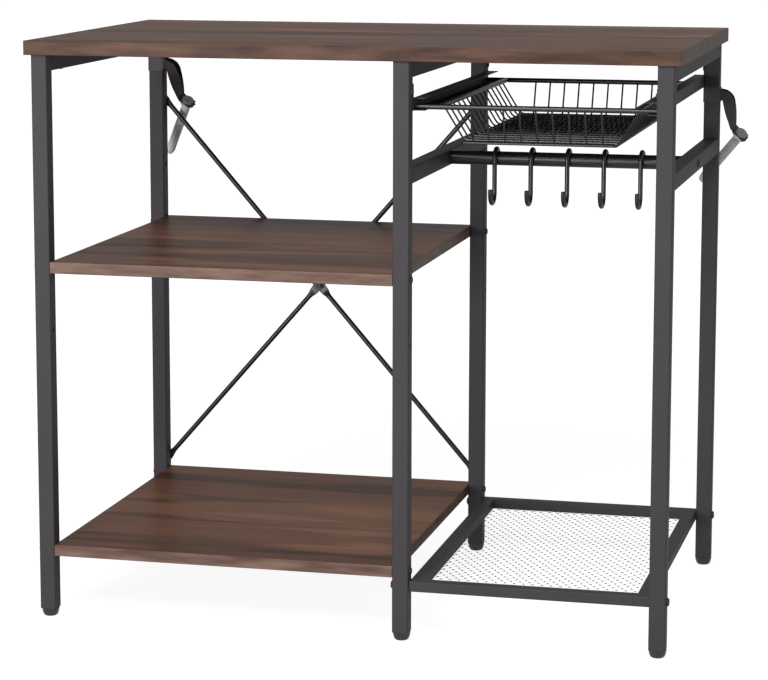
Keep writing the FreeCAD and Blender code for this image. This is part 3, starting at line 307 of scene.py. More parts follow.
def walnut_board(name, board, shift, stave, lift, front_plank, band_dark, band_light):
    """Walnut foil on one board: the shift gives it its own stretch of the pattern, the lift its
    tone, and the front plank is darker by its first number and as deep as its second."""
    material = bpy.data.materials.new(name)
    material.use_nodes = True
    tree = material.node_tree
    shader = tree.nodes["Principled BSDF"]
    place = add(tree, "ShaderNodeTexCoord").outputs["Object"]
    moved = add(tree, "ShaderNodeMapping", {"Vector": place, "Location": shift}).outputs[0]
    figure = add(tree, "ShaderNodeGroup", node_tree=WALNUT_FIGURE)
    tree.links.new(moved, figure.inputs["Vector"])
    figure.inputs["Stave"].default_value = stave
    figure.inputs["Figure Stretch"].default_value = FIGURE_STRETCH
    blend = calculate(tree, "MULTIPLY_ADD", figure.outputs["Fibre"], FIBRE_SHARE,
                      figure.outputs["Figure"])
    blend = calculate(tree, "MULTIPLY_ADD", figure.outputs["Stave Tone"], STAVE_SHARE,
                      calculate(tree, "ADD", blend, lift))
    darker, reach = front_plank
    wave = add(tree, "ShaderNodeTexNoise", {"Vector": moved, "Scale": 4, "Detail": 1})
    depth = calculate(tree, "MULTIPLY_ADD", wave.outputs["Fac"], PLANK_WAVE,
                      add(tree, "ShaderNodeSeparateXYZ", {0: place}).outputs["Y"])
    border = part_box(board)[0].y + reach + PLANK_WAVE / 2
    plank = add(tree, "ShaderNodeMapRange", {"Value": depth, "From Min": border,
                                             "From Max": border + PLANK_BLUR,
                                             "To Min": darker, "To Max": 0})
    blend = calculate(tree, "SUBTRACT", blend, plank.outputs["Result"], clamp=True)
    ramp = add(tree, "ShaderNodeValToRGB", {"Fac": blend})
    stops = ramp.color_ramp.elements
    stops[0].color = WALNUT_DARK
    stops[1].color = WALNUT_LIGHT
    middle = stops.new(0.5)
    middle.color = WALNUT_MID

    # The edge band's own print: short slanted blotches over the same fibres.
    slanted = add(tree, "ShaderNodeMapping", {"Vector": moved, "Rotation": (0, BAND_SLANT, 0),
                                              "Scale": BAND_STRETCH}).outputs[0]
    blotch = add(tree, "ShaderNodeTexNoise", {"Vector": slanted, "Scale": 1, "Detail": 4})
    band = add(tree, "ShaderNodeMapRange", {"Value": blotch.outputs["Fac"], "From Min": 0.3,
                                            "From Max": 0.7})
    band_colour = blend_colours(tree, band.outputs["Result"], band_dark, band_light)
    normal = add(tree, "ShaderNodeNewGeometry").outputs["Normal"]
    upward = add(tree, "ShaderNodeSeparateXYZ", {0: normal}).outputs["Z"]
    upright = calculate(tree, "LESS_THAN", calculate(tree, "ABSOLUTE", upward), LEVEL_FROM)
    tree.links.new(blend_colours(tree, upright, ramp.outputs["Color"], band_colour),
                   shader.inputs["Base Color"])
    rough = add(tree, "ShaderNodeMapRange", {"Value": figure.outputs["Fibre"], "To Min": 0.3,
                                             "To Max": 0.46})
    tree.links.new(rough.outputs["Result"], shader.inputs["Roughness"])
    relief = add(tree, "ShaderNodeBump", {"Height": figure.outputs["Fibre"], "Strength": FOIL_BUMP,
                                          "Distance": FOIL_DEPTH})
    tree.links.new(relief.outputs["Normal"], shader.inputs["Normal"])
    shader.inputs["Specular IOR Level"].default_value = FOIL_GLOSS
    return material


TOP_BAND = srgb(70, 49, 40), srgb(108, 80, 67)
SHELF_BAND = srgb(98, 74, 66), srgb(148, 120, 109)
for board, shift, stave, lift, front_plank, band in (
        ("tabletop", (0.3, 0.01, 0), 0.1, -0.32, (0.1, 0.07), TOP_BAND),
        ("middle_shelf", (1.7, 0.35, 0.2), 0.12, -0.28, (0.22, 0.13), SHELF_BAND),
        ("lower_shelf", (4.1, 0.12, 0.5), 0.16, -0.14, (0.28, 0.09), SHELF_BAND)):
    coat_nodes([board], walnut_board(f"walnut_{board}", board, shift, stave, lift, front_plank, *band))

# ---------------------------------------------------------------- bolts and screws
# Low domed steel screws with a hexagon socket, blackened. Each goes through a leg or a rail into
# what it holds: an insert in a shelf board or in the hook bar, a mesh shelf rail, or the tabletop.


def centre(node):
    """The middle of a node's box."""
    low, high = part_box(node)
    return (low + high) / 2


CREASE = math.radians(32)


def fit_piece(name, mesh, material, body, nodes=()):
    """Makes a finished mesh a piece of the rack: rounded faces smooth, edges past the crease sharp."""
    if isinstance(mesh, bmesh.types.BMesh):
        bmesh.ops.recalc_face_normals(mesh, faces=mesh.faces)
        data = bpy.data.meshes.new(name)
        mesh.to_mesh(data)
        mesh.free()
    else:
        data = mesh
        data.name = name
    data.shade_smooth()
    data.set_sharp_from_angle(angle=CREASE)
    data.materials.clear()
    data.materials.append(material)
    piece = bpy.data.objects.new(name, data)
    scene.collection.objects.link(piece)
    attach(piece, body)
    if nodes:
        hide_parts(*nodes)
    return piece


def bridge(bm, first, second):
    """A band of faces between two rings of as many vertices."""
    count = len(first)
    for k in range(count):
        bm.faces.new((first[k], first[(k + 1) % count], second[(k + 1) % count], second[k]))


def skin(bm, rings, looped=False):
    """Bands of faces from ring to ring, with a cap at both ends or, looped, on round to the first."""
    for first, second in zip(rings, rings[1:] + rings[:1] if looped else rings[1:]):
        bridge(bm, first, second)
    if not looped:
        bm.faces.new(rings[0])
        bm.faces.new(rings[-1])
    return bm


SCREW_SIDES = 24
HEAD_FLAT = 0.36
HEAD_DOME = [math.radians(lift) for lift in (18, 40, 62, 90)]
POINT_WIDE = 0.8
POINT_LONG = 0.1


def socket_screw(head, tall, shank, length, socket, deep):
    """A screw along +Z with its head under z = 0: a dome with a hexagon socket, and a shank."""
    bm = bmesh.new()
    turns = [2 * math.pi * k / SCREW_SIDES for k in range(SCREW_SIDES)]

    def ring(radius, z):
        return [bm.verts.new((radius * math.cos(a), radius * math.sin(a), z)) for a in turns]

    def hexagon(z):
        sixth = math.pi / 3
        reach = [socket / 2 * math.cos(sixth / 2) / math.cos(a % sixth - sixth / 2) for a in turns]
        return [bm.verts.new((r * math.cos(a), r * math.sin(a), z)) for r, a in zip(reach, turns)]

    flat = HEAD_FLAT * head
    rows = [ring(shank / 2 * POINT_WIDE, length), ring(shank / 2, length - POINT_LONG * shank),
            ring(shank / 2, 0), ring(head / 2, 0)]
    rows += [ring(flat + (head / 2 - flat) * math.cos(lift), -tall * math.sin(lift))
             for lift in HEAD_DOME]
    rows += [hexagon(-tall), hexagon(deep - tall)]
    return skin(bm, rows)


def screw_tree():
    """Geometry Nodes: one screw set on every spot, turned along the way that it is driven."""
    tree, given, result = new_group(
        "screws_on_spots", {"Screw": "Geometry", "Spots": "Object", "Finish": "Material"},
        {"Screws": "Geometry"}, "GeometryNodeTree")
    spots = add(tree, "GeometryNodeObjectInfo", {"Object": given["Spots"]}, transform_space="ORIGINAL")
    drive = add(tree, "GeometryNodeInputNamedAttribute", {"Name": "drive"}, data_type="FLOAT_VECTOR")
    turn = add(tree, "FunctionNodeAlignRotationToVector", {"Vector": drive.outputs[0]}, axis="Z")
    placed = add(tree, "GeometryNodeInstanceOnPoints", {
        "Points": spots.outputs["Geometry"], "Instance": given["Screw"], "Rotation": turn.outputs[0]})
    real = add(tree, "GeometryNodeRealizeInstances", {0: placed.outputs[0]})
    done = add(tree, "GeometryNodeSetMaterial", {"Geometry": real.outputs[0],
                                                 "Material": given["Finish"]})
    tree.links.new(done.outputs[0], result["Screws"])
    return tree


def grow(bm, tree, **inputs):
    """Runs a Geometry Nodes tree on a mesh and returns the result as a plain mesh."""
    data = bpy.data.meshes.new("seed")
    bm.to_mesh(data)
    bm.free()
    seed = bpy.data.objects.new("seed", data)
    scene.collection.objects.link(seed)
    modifier = seed.modifiers.new("tree", "NODES")
    modifier.node_group = tree
    for socket in tree.interface.items_tree:
        if socket.in_out == "INPUT" and socket.name in inputs:
            modifier[socket.identifier] = inputs[socket.name]
    graph = bpy.context.evaluated_depsgraph_get()
    result = bpy.data.meshes.new_from_object(seed.evaluated_get(graph), depsgraph=graph)
    bpy.data.objects.remove(seed)
    return result


SCREW_TREE = screw_tree()
BLACKENED = coated_metal("blackened_steel", srgb(38, 37, 39), srgb(58, 56, 59), 0.38, 0.5, 1600.0, 0.03)
SCREW_SIZES = {  # head, head height, shank, length, socket and socket depth, in mm
    "shelf_bolts": (11, 3, 6, 40, 4, 1.8),
    "mesh_shelf_bolts": (13, 3.8, 6, 34, 4, 1.8),
    "hook_bar_bolts": (13, 3, 6, 41, 4, 1.8),
    "slide_screws": (8, 2.5, 4, 9.2, 4, 1.8),
    "tabletop_screws": (9, 2.5, 4.5, 40, 4, 1.8),
}


def set_screws(node, spots):
    """All screws of one node, each on its spot with the way that it is driven."""
    data = bpy.data.meshes.new("spots")
    data.from_pydata([place for place, _ in spots], [], [])
    drive = data.attributes.new("drive", "FLOAT_VECTOR", "POINT")
    drive.data.foreach_set("vector", [number for _, way in spots for number in way])
    marks = bpy.data.objects.new("spots", data)
    scene.collection.objects.link(marks)
    screw = socket_screw(*[size * MM for size in SCREW_SIZES[node]])
    mesh = grow(screw, SCREW_TREE, Spots=marks, Finish=BLACKENED)
    bpy.data.objects.remove(marks)
    fit_piece(node + "_set", mesh, BLACKENED, "frame", [node])


RIGHTWARD = (1, 0, 0)
LEFTWARD = (-1, 0, 0)
HALF_TUBE = 12.5 * MM
spots = []
for shelf in ("lower_shelf", "middle_shelf"):
    for end in ENDS:
        for side, out, way in (("left", -HALF_TUBE, RIGHTWARD), ("middle", HALF_TUBE, LEFTWARD)):
            leg = centre(f"{end}_{side}_leg")
            spots.append(((leg.x + out, leg.y, centre(shelf).z), way))
set_screws("shelf_bolts", spots)

spots = []
for end in ENDS:
    for side, out, way in (("middle", -HALF_TUBE, RIGHTWARD), ("right", HALF_TUBE, LEFTWARD)):
        leg = centre(f"{end}_{side}_leg")
        spots.append(((leg.x + out, leg.y, centre("mesh_shelf_left_rail").z), way))
set_screws("mesh_shelf_bolts", spots)

spots = []
for side, out, way in (("middle", -HALF_TUBE, RIGHTWARD), ("right", HALF_TUBE, LEFTWARD)):
    rail = centre(f"{side}_hook_rail")
    spots.append(((rail.x + out, rail.y, rail.z), way))
set_screws("hook_bar_bolts", spots)

spots = []
SCREW_SPREAD = 200 * MM
for side in SIDES:
    rail = centre(f"{side}_top_rail")
    for sign in (-1, 1):
        spots.append(((rail.x, rail.y + sign * SCREW_SPREAD, rail.z - HALF_TUBE), (0, 0, 1)))
set_screws("tabletop_screws", spots)

# ---------------------------------------------------------------- levelling feet
# Each foot is a glossy black moulded glide on a threaded stud. The stud screws into a moulded plug
# that is pressed in the leg's lower end, so that the rack can be levelled.


def turned(bm, profile, sides=32):
    """A solid of revolution round Z from (radius, z) pairs, closed at both ends."""
    turns = [2 * math.pi * k / sides for k in range(sides)]
    return skin(bm, [[bm.verts.new((radius * math.cos(a), radius * math.sin(a), z)) for a in turns]
                     for radius, z in profile])


RIPPLE_LIGHT = 1.15


def moulded_plastic(name, colour, rough, gloss, grains=300.0, bump=0.04):
    """Injection-moulded plastic with a faint moulding ripple."""
    lighter = tuple(min(1, part * RIPPLE_LIGHT) for part in colour)
    return coated_metal(name, colour, lighter, rough, gloss, grains, bump)


FOOT_PLASTIC = moulded_plastic("foot_plastic", srgb(34, 33, 35), 0.16, 0.9)
GLIDE_TOP = 13.0
GLIDE = [(7.0, 0), (9.2, 0.5), (10.8, 1.9), (12.0, 4.4), (12.9, 7.6), (13.4, 10.6), (13.7, 11.4),
         (13.7, 12.6), (13.2, GLIDE_TOP), (6.0, GLIDE_TOP)]  # radius and height, in mm
STUD_RADIUS = 4.0
STUD_LENGTH = 32.0
STUD_POINT = 1.0
THREAD_PITCH = 1.25
THREAD_DEEP = 0.6
THREAD_ROOT = 0.1
thread = []
for turn_count in range(int((STUD_LENGTH - STUD_POINT) / THREAD_PITCH)):
    start = GLIDE_TOP + turn_count * THREAD_PITCH
    thread += [(STUD_RADIUS - THREAD_DEEP, start + THREAD_ROOT), (STUD_RADIUS, start + THREAD_PITCH / 2)]
thread.append((STUD_RADIUS - THREAD_DEEP, GLIDE_TOP + STUD_LENGTH))
for end in ENDS:
    for side in SIDES:
        foot = turned(bmesh.new(), [(r * MM, z * MM) for r, z in GLIDE + thread])
        leg = centre(f"{end}_{side}_leg")
        bmesh.ops.translate(foot, vec=(leg.x, leg.y, 0), verts=foot.verts)
        name = f"{end}_{side}_foot"
        fit_piece(name + "_glide", foot, FOOT_PLASTIC, name, [name])
coat_nodes(["leg_plugs"], moulded_plastic("plug_plastic_black", srgb(40, 39, 41), 0.5, 0.4))

# ---------------------------------------------------------------- hook bar and hooks
# A 22 mm round tube with a black coat is bolted between the hook rails. Five loose S hooks, bent
# from 7.5 mm steel wire and coated too, hang on it.

WIRE_TIP = 0.3
TIP_ROUNDING = ((1.0, 0.55), (0.65, 0.85))  # along the tip and across it


def drawn_wire(bm, points, radius, sides=14, closed=False):
    """A round wire along the points, its open ends rounded over."""
    points = [Vector(p) for p in points]
    count = len(points)
    rows = []
    normal = None
    for k, here in enumerate(points):
        before = points[k - 1] if k or closed else here
        after = points[(k + 1) % count] if k < count - 1 or closed else here
        along = (after - before).normalized()
        if normal is None:
            normal = along.orthogonal().normalized()
        normal = (normal - along * normal.dot(along)).normalized()
        across = along.cross(normal)
        rows.append((here, along, normal, across, radius))
    if not closed:
        first, last = rows[0], rows[-1]
        starts = [(first[0] - first[1] * radius * WIRE_TIP * s, *first[1:4], radius * w)
                  for s, w in TIP_ROUNDING]
        ends = [(last[0] + last[1] * radius * WIRE_TIP * s, *last[1:4], radius * w)
                for s, w in reversed(TIP_ROUNDING)]
        rows = starts + rows + ends
    turns = [2 * math.pi * k / sides for k in range(sides)]
    rings = [[bm.verts.new(at + (normal * math.cos(a) + across * math.sin(a)) * wide) for a in turns]
             for at, along, normal, across, wide in rows]
    return skin(bm, rings, closed)


def arc(middle, start, sweep, axis, steps):
    """Points from the start round the middle by the sweep, in radians, the start left out."""
    arm = Vector(start) - Vector(middle)
    return [Vector(middle) + Matrix.Rotation(sweep * k / steps, 3, axis) @ arm
            for k in range(1, steps + 1)]


BAR_COAT = coated_metal("bar_coat", srgb(30, 28, 31), srgb(42, 40, 43), 0.3, 0.65, 1400.0, 0.03)
bar_low, bar_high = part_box("hook_bar")
bar_middle = centre("hook_bar")
BAR_RADIUS = 11 * MM
BAR_BORE = 9.5 * MM
BAR_SIDES = 48
bar = bmesh.new()
turns = [2 * math.pi * k / BAR_SIDES for k in range(BAR_SIDES)]
rings = [[bar.verts.new((x, bar_middle.y + radius * math.cos(a), bar_middle.z + radius * math.sin(a)))
          for a in turns]
         for x, radius in ((bar_low.x, BAR_BORE), (bar_low.x, BAR_RADIUS), (bar_high.x, BAR_RADIUS),
                           (bar_high.x, BAR_BORE))]
fit_piece("hook_bar_tube", skin(bar, rings, looped=True), BAR_COAT, "frame", ["hook_bar"])

HOOK_WIRE = 3.75 * MM
LOOP = 15.05 * MM
LOOP_STEPS = 22
CURL = 16.8 * MM
CURL_STEPS = 16
DROP = 67.5 * MM
TIP_RISE = 5.4 * MM
WRAP = math.radians(25)
HOOK_STEEL = coated_metal("hook_coat", srgb(32, 30, 33), srgb(40, 37, 41), 0.26, 0.65, 400.0, 0.01)
for number in range(1, 6):
    axle = Vector((centre(f"hook_{number}").x, bar_middle.y, bar_middle.z))
    start = axle + Vector((0, LOOP * math.cos(WRAP), -LOOP * math.sin(WRAP)))
    route = [start] + arc(axle, start, math.pi + WRAP, "X", LOOP_STEPS)
    bend = route[-1] + Vector((0, 0, CURL - DROP))
    route += [bend] + arc(bend - Vector((0, CURL, 0)), bend, -math.pi, "X", CURL_STEPS)
    route.append(route[-1] + Vector((0, 0, TIP_RISE)))
    hook = drawn_wire(bmesh.new(), route, HOOK_WIRE)
    fit_piece(f"s_hook_{number}", hook, HOOK_STEEL, f"hook_{number}", [f"hook_{number}"])

# ---------------------------------------------------------------- basket slides
# Two channels folded from 1.2 mm sheet steel, with the frame's coat. Each is screwed to the legs'
# inner faces through an ear at each end, and the basket's rim wires run in them.

coat_nodes(["middle_basket_slide", "right_basket_slide"], FRAME_COAT)
EAR_RISE = 29.5 * MM
SLIDE_WALL = 1.2 * MM
spots = []
for side, sign, way in (("middle", 1, LEFTWARD), ("right", -1, RIGHTWARD)):
    for end in ENDS:
        leg = centre(f"{end}_{side}_leg")
        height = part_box(f"{side}_basket_slide")[0].z + EAR_RISE
        spots.append(((leg.x + sign * (HALF_TUBE + SLIDE_WALL), leg.y, height), way))
set_screws("slide_screws", spots)

# ---------------------------------------------------------------- basket
# Four 8 mm rim wires welded in a frame, whose front and rear ones run in the slides. Thin wires
# drop from the rim, turn inside the foot wire and run on under and over a floor of fine mesh.

WIRE_COAT = coated_metal("wire_coat", srgb(26, 24, 27), srgb(36, 33, 37), 0.3, 0.6, 1400.0, 0.02)
RIM_RADIUS = 4 * MM
RIM_INSET = 1 * MM
RIM_SIDES = 20
FOUR_SIDES = ENDS + ("left", "right")
for spot in FOUR_SIDES:
    low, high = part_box(f"basket_{spot}_rim")
    middle = (low + high) / 2
    if spot in ENDS:
        run = [(low.x + RIM_INSET, middle.y, middle.z), (high.x - RIM_INSET, middle.y, middle.z)]
    else:
        run = [(middle.x, low.y, middle.z), (middle.x, high.y, middle.z)]
    rim = drawn_wire(bmesh.new(), run, RIM_RADIUS, RIM_SIDES)
    fit_piece(f"{spot}_rim_wire", rim, WIRE_COAT, "basket", [f"basket_{spot}_rim"])


BEND_STEPS = 6


def rounded_route(corners, radius, closed=False):
    """Points along straight runs with an arc at each corner."""
    corners = [Vector(c) for c in corners]
    count = len(corners)
    points = [] if closed else [corners[0]]
    for k in range(0 if closed else 1, count if closed else count - 1):
        here = corners[k]
        before = (corners[k - 1] - here).normalized()
        after = (corners[(k + 1) % count] - here).normalized()
        half = before.angle(after) / 2
        start = here + before * radius / math.tan(half)
        middle = here + (before + after).normalized() * radius / math.sin(half)
        axis = (-before).cross(after).normalized()
        points += [start] + arc(middle, start, math.pi - 2 * half, axis, BEND_STEPS)
    if not closed:
        points.append(corners[-1])
    return points


FOOT_RADIUS = 2 * MM
FOOT_BEND = 5 * MM
ring_low, ring_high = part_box("basket_foot_wire")
ring_middle = centre("basket_foot_wire")
left, right = ring_low.x + FOOT_RADIUS, ring_high.x - FOOT_RADIUS
near, far = ring_low.y + FOOT_RADIUS, ring_high.y - FOOT_RADIUS
route = rounded_route([(left, near, ring_middle.z), (right, near, ring_middle.z),
                       (right, far, ring_middle.z), (left, far, ring_middle.z)], FOOT_BEND, closed=True)
fit_piece("foot_wire_ring", drawn_wire(bmesh.new(), route, FOOT_RADIUS, closed=True), WIRE_COAT,
          "basket", ["basket_foot_wire"])


def row_tree():
    """Geometry Nodes: a wire repeated along a row."""
    tree, given, result = new_group(
        "wires_in_a_row", {"Wire": "Geometry", "Count": "Int", "Step": "Vector", "Finish": "Material"},
        {"Wires": "Geometry"}, "GeometryNodeTree")
    line = add(tree, "GeometryNodeMeshLine", {"Count": given["Count"], "Offset": given["Step"]},
               mode="OFFSET")
    placed = add(tree, "GeometryNodeInstanceOnPoints", {"Points": line.outputs[0],
                                                        "Instance": given["Wire"]})
    real = add(tree, "GeometryNodeRealizeInstances", {0: placed.outputs[0]})
    done = add(tree, "GeometryNodeSetMaterial", {"Geometry": real.outputs[0],
                                                 "Material": given["Finish"]})
    tree.links.new(done.outputs[0], result["Wires"])
    return tree


ROW_TREE = row_tree()
FENCE_RADIUS = 1.45 * MM
FENCE_SIDES = 8
FENCE_BEND = 13 * MM
FOOT_LAP = 0.4 * MM
LONG_RUN = -1.4 * MM
CROSS_RUN = 1.6 * MM


def fence_row(name, count, lengthwise, nodes):
    """Wires bent in a wide U past the floor, set side by side from rim to rim."""
    first_low, first_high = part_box(nodes[0])
    if lengthwise:
        low_end, high_end = centre("basket_front_rim").y, centre("basket_rear_rim").y
        foot_low, foot_high = near - FOOT_LAP, far + FOOT_LAP
        side_low, side_high = first_low.x + FENCE_RADIUS, first_high.x - FENCE_RADIUS
        depth = ring_middle.z + LONG_RUN
    else:
        low_end, high_end = centre("basket_left_rim").x, centre("basket_right_rim").x
        foot_low, foot_high = left - FOOT_LAP, right + FOOT_LAP
        side_low, side_high = first_low.y + FENCE_RADIUS, first_high.y - FENCE_RADIUS
        depth = ring_middle.z + CROSS_RUN
    rim_level = centre("basket_front_rim").z - RIM_RADIUS
    corners = [(low_end, rim_level), (foot_low, depth), (foot_high, depth), (high_end, rim_level)]
    pitch = (side_high - side_low) / (count - 1)
    if lengthwise:
        corners = [(side_low, along, z) for along, z in corners]
        step = Vector((pitch, 0, 0))
    else:
        corners = [(along, side_low, z) for along, z in corners]
        step = Vector((0, pitch, 0))
    wire = drawn_wire(bmesh.new(), rounded_route(corners, FENCE_BEND), FENCE_RADIUS, FENCE_SIDES)
    mesh = grow(wire, ROW_TREE, Count=count, Step=step, Finish=WIRE_COAT)
    fit_piece(name, mesh, WIRE_COAT, "basket", nodes)


fence_row("basket_long_wires", 9, True, ["basket_front_wires", "basket_rear_wires"])
fence_row("basket_cross_wires", 15, False, ["basket_left_wires", "basket_right_wires"])

# ---------------------------------------------------------------- expanded mesh
# Steel sheet slit and stretched to staggered diamonds, with a thicker knuckle where strands meet:
# a fine one lies in the basket, a coarser one is welded in the tube frame of the bottom shelf.


def mesh_tree():
    """Geometry Nodes: one diamond repeated on two staggered grids and merged along its border."""
    tree, given, result = new_group(
        "expanded_mesh", {"Diamond": "Geometry", "Pitch Across": "Float", "Pitch Back": "Float",
                          "Merge Distance": "Float", "Columns": "Int", "Rows": "Int",
                          "Middle": "Vector", "Finish": "Material"},
        {"Mesh": "Geometry"}, "GeometryNodeTree")
    grids = add(tree, "GeometryNodeJoinGeometry")
    for fewer in (0, 1):
        columns = calculate(tree, "SUBTRACT", given["Columns"], fewer)
        rows = calculate(tree, "SUBTRACT", given["Rows"], fewer)
        wide = calculate(tree, "MULTIPLY", calculate(tree, "SUBTRACT", columns, 1),
                         given["Pitch Across"])
        deep = calculate(tree, "MULTIPLY", calculate(tree, "SUBTRACT", rows, 1), given["Pitch Back"])
        grid = add(tree, "GeometryNodeMeshGrid", {"Size X": wide, "Size Y": deep, "Vertices X": columns,
                                                  "Vertices Y": rows})
        tree.links.new(grid.outputs["Mesh"], grids.inputs[0])
    placed = add(tree, "GeometryNodeInstanceOnPoints", {"Points": grids.outputs[0],
                                                        "Instance": given["Diamond"]})
    real = add(tree, "GeometryNodeRealizeInstances", {0: placed.outputs[0]})
    merged = add(tree, "GeometryNodeMergeByDistance", {"Geometry": real.outputs[0],
                                                       "Distance": given["Merge Distance"]})
    moved = add(tree, "GeometryNodeTransform", {"Geometry": merged.outputs[0],
                                                "Translation": given["Middle"]})
    done = add(tree, "GeometryNodeSetMaterial", {"Geometry": moved.outputs[0],
                                                 "Material": given["Finish"]})
    tree.links.new(done.outputs[0], result["Mesh"])
    return tree


MESH_TREE = mesh_tree()
KNUCKLE_LONG = 0.64


def diamond(across, back, strand, knuckle):
    """One flat diamond round its hole: two points on each side, and a blunt corner at each knuckle."""
    bm = bmesh.new()
    tips = [Vector((across / 2, 0, 0)), Vector((0, back / 2, 0)), Vector((-across / 2, 0, 0)),
            Vector((0, -back / 2, 0))]
    outer, inner = [], []
    for k, tip in enumerate(tips):
        following = tips[(k + 1) % 4]
        side = following - tip
        inward = Vector((-side.y, side.x, 0)).normalized() * strand / 2
        near_tip = side.normalized() * KNUCKLE_LONG * knuckle
        outer += [bm.verts.new(tip), bm.verts.new(tip + near_tip), bm.verts.new(following - near_tip)]
        inner += [bm.verts.new(tip - tip.normalized() * knuckle),
                  bm.verts.new(tip + near_tip + inward), bm.verts.new(following - near_tip + inward)]
    bridge(bm, outer, inner)
    return bm


def expanded_sheet(name, node, across, back, strand, knuckle, strand_share, overlap, material, body):
    """Fills a node's place with real diamonds, its rim tucked under what holds it. The knuckles
    are as thick as the sheet, and the strands the given share of that."""
    low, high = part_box(node)
    middle = (low + high) / 2
    columns = int((high.x - low.x + 2 * overlap) / across)
    rows = int((high.y - low.y + 2 * overlap) / back)
    mesh = grow(diamond(across, back, strand, knuckle), MESH_TREE, **{
        "Pitch Across": across, "Pitch Back": back, "Columns": columns, "Rows": rows,
        "Middle": Vector((middle.x, middle.y, low.z)), "Merge Distance": strand / 10,
        "Finish": material})
    piece = fit_piece(name, mesh, material, body, [node])
    shape = bmesh.new()
    shape.from_mesh(piece.data)
    knuckles = {vert for vert in shape.verts if len(vert.link_faces) > 4}
    knuckles |= {edge.other_vert(vert) for vert in knuckles for edge in vert.link_edges
                 if len(edge.other_vert(vert).link_faces) == 2}
    group = piece.vertex_groups.new(name="knuckles")
    group.add([vert.index for vert in knuckles], 1, "REPLACE")
    shape.free()
    solid = piece.modifiers.new("sheet_thickness", "SOLIDIFY")
    solid.thickness = high.z - low.z
    solid.offset = 1
    solid.vertex_group = group.name
    solid.thickness_vertex_group = strand_share


# The mesh's coat is the frame's black, set a lighter grey as a painted sheen for the light that its thin
# strands catch.
SHEENED_MESH_COAT = coated_metal("mesh_coat_with_painted_sheen", srgb(84, 81, 86), srgb(104, 100, 105), 0.5, 0.3, 1400.0, 0.03)
expanded_sheet("basket_floor_mesh", "basket_floor", across=8 * MM, back=12.2 * MM, strand=1.3 * MM,
               knuckle=1.6 * MM, strand_share=0.8, overlap=0, material=WIRE_COAT, body="basket")
expanded_sheet("shelf_diamond_mesh", "shelf_mesh", across=14.3 * MM, back=23.3 * MM, strand=0.25 * MM,
               knuckle=1.3 * MM, strand_share=0.12, overlap=7 * MM, material=SHEENED_MESH_COAT, body="frame")
coat_nodes([f"mesh_shelf_{spot}_rail" for spot in FOUR_SIDES], FRAME_COAT)

# ---------------------------------------------------------------- rear brace
# Four 8.5 mm rods whose ends are pressed flat and drilled. Four ends are stacked on one bolt at the
# crossing, and the others are bolted to the rear legs.

ROD_RADIUS = 4.25 * MM
PADDLE_HALF = 7.5 * MM
PADDLE_THICK = 1.6 * MM
ROD_GAP = 0.3 * MM
FLAT_LONG = 12 * MM
FLAT_MARK = 0.6
PRESS_LONG = 16 * MM
PRESS_STEPS = 6
END_STEPS = 6
END_HALF = 0.4 * MM
ROD_SIDES = 24
crossing = centre("brace_upper_left").lerp(centre("brace_lower_right"), 0.5)
back_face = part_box("rear_left_leg")[1].y


def paddle_row(share_round, half_wide, half_thick):
    """An outline across a rod that goes from a pressed flat to a full round."""
    row = []
    for k in range(ROD_SIDES):
        angle = 2 * math.pi * k / ROD_SIDES
        c, s = math.cos(angle), math.sin(angle)
        bulge = max(abs(c), abs(s)) ** (1 - share_round)
        row.append((half_wide * c / bulge, half_thick * s / bulge))
    return row


def brace_rod(name, level, run_sign, rise_sign):
    """A rod with pressed ends, built from the crossing's bolt out to the leg's bolt."""
    low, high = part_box(name)
    bolt_x = low.x + PADDLE_HALF if run_sign < 0 else high.x - PADDLE_HALF
    bolt_z = high.z - PADDLE_HALF if rise_sign > 0 else low.z + PADDLE_HALF
    start = Vector((crossing.x, back_face, crossing.z))
    end = Vector((bolt_x, back_face, bolt_z))
    along = (end - start).normalized()
    length = (end - start).length
    across = along.cross(Vector((0, 1, 0)))
    flat_in = level * PADDLE_THICK + PADDLE_THICK / 2
    flat_out = PADDLE_THICK / 2
    round_mid = ROD_GAP + ROD_RADIUS
    stations = []
    for step in range(END_STEPS + 1):
        reach = PADDLE_HALF * math.cos(math.pi / 2 * step / END_STEPS)
        stations.append((-reach, math.sqrt(max(PADDLE_HALF ** 2 - reach ** 2, END_HALF ** 2)), 0))
    stations.append((FLAT_LONG * FLAT_MARK, PADDLE_HALF, 0))
    stations += [(FLAT_LONG + PRESS_LONG * t / PRESS_STEPS, PADDLE_HALF, t / PRESS_STEPS)
                 for t in range(1, PRESS_STEPS + 1)]
    rod = bmesh.new()
    rows = []
    halves = [(s, w, share, flat_in) for s, w, share in stations]
    halves += [(length - s, w, share, flat_out) for s, w, share in reversed(stations)]
    for s, half_wide, share, flat in halves:
        ease = share * share * (3 - 2 * share)
        half_wide += (ROD_RADIUS - half_wide) * ease
        half_thick = PADDLE_THICK / 2 + (ROD_RADIUS - PADDLE_THICK / 2) * ease
        lift = flat + (round_mid - flat) * ease
        middle = start + along * s + Vector((0, lift, 0))
        rows.append([rod.verts.new(middle + across * u + Vector((0, v, 0)))
                     for u, v in paddle_row(ease, half_wide, half_thick)])
    fit_piece(name + "_rod", skin(rod, rows), WIRE_COAT, "frame", [name])
    return end


bolt_ends = [brace_rod("brace_upper_left", 0, -1, 1), brace_rod("brace_upper_right", 1, 1, 1),
             brace_rod("brace_lower_left", 2, -1, -1), brace_rod("brace_lower_right", 3, 1, -1)]
SCREW_SIZES["brace_bolts"] = (11, 3, 6, 11.6, 4, 1.8)
FORWARD = (0, -1, 0)
spots = [((end.x, back_face + PADDLE_THICK, end.z), FORWARD) for end in bolt_ends]
spots.append(((crossing.x, back_face + 4 * PADDLE_THICK, crossing.z), FORWARD))
set_screws("brace_bolts", spots)

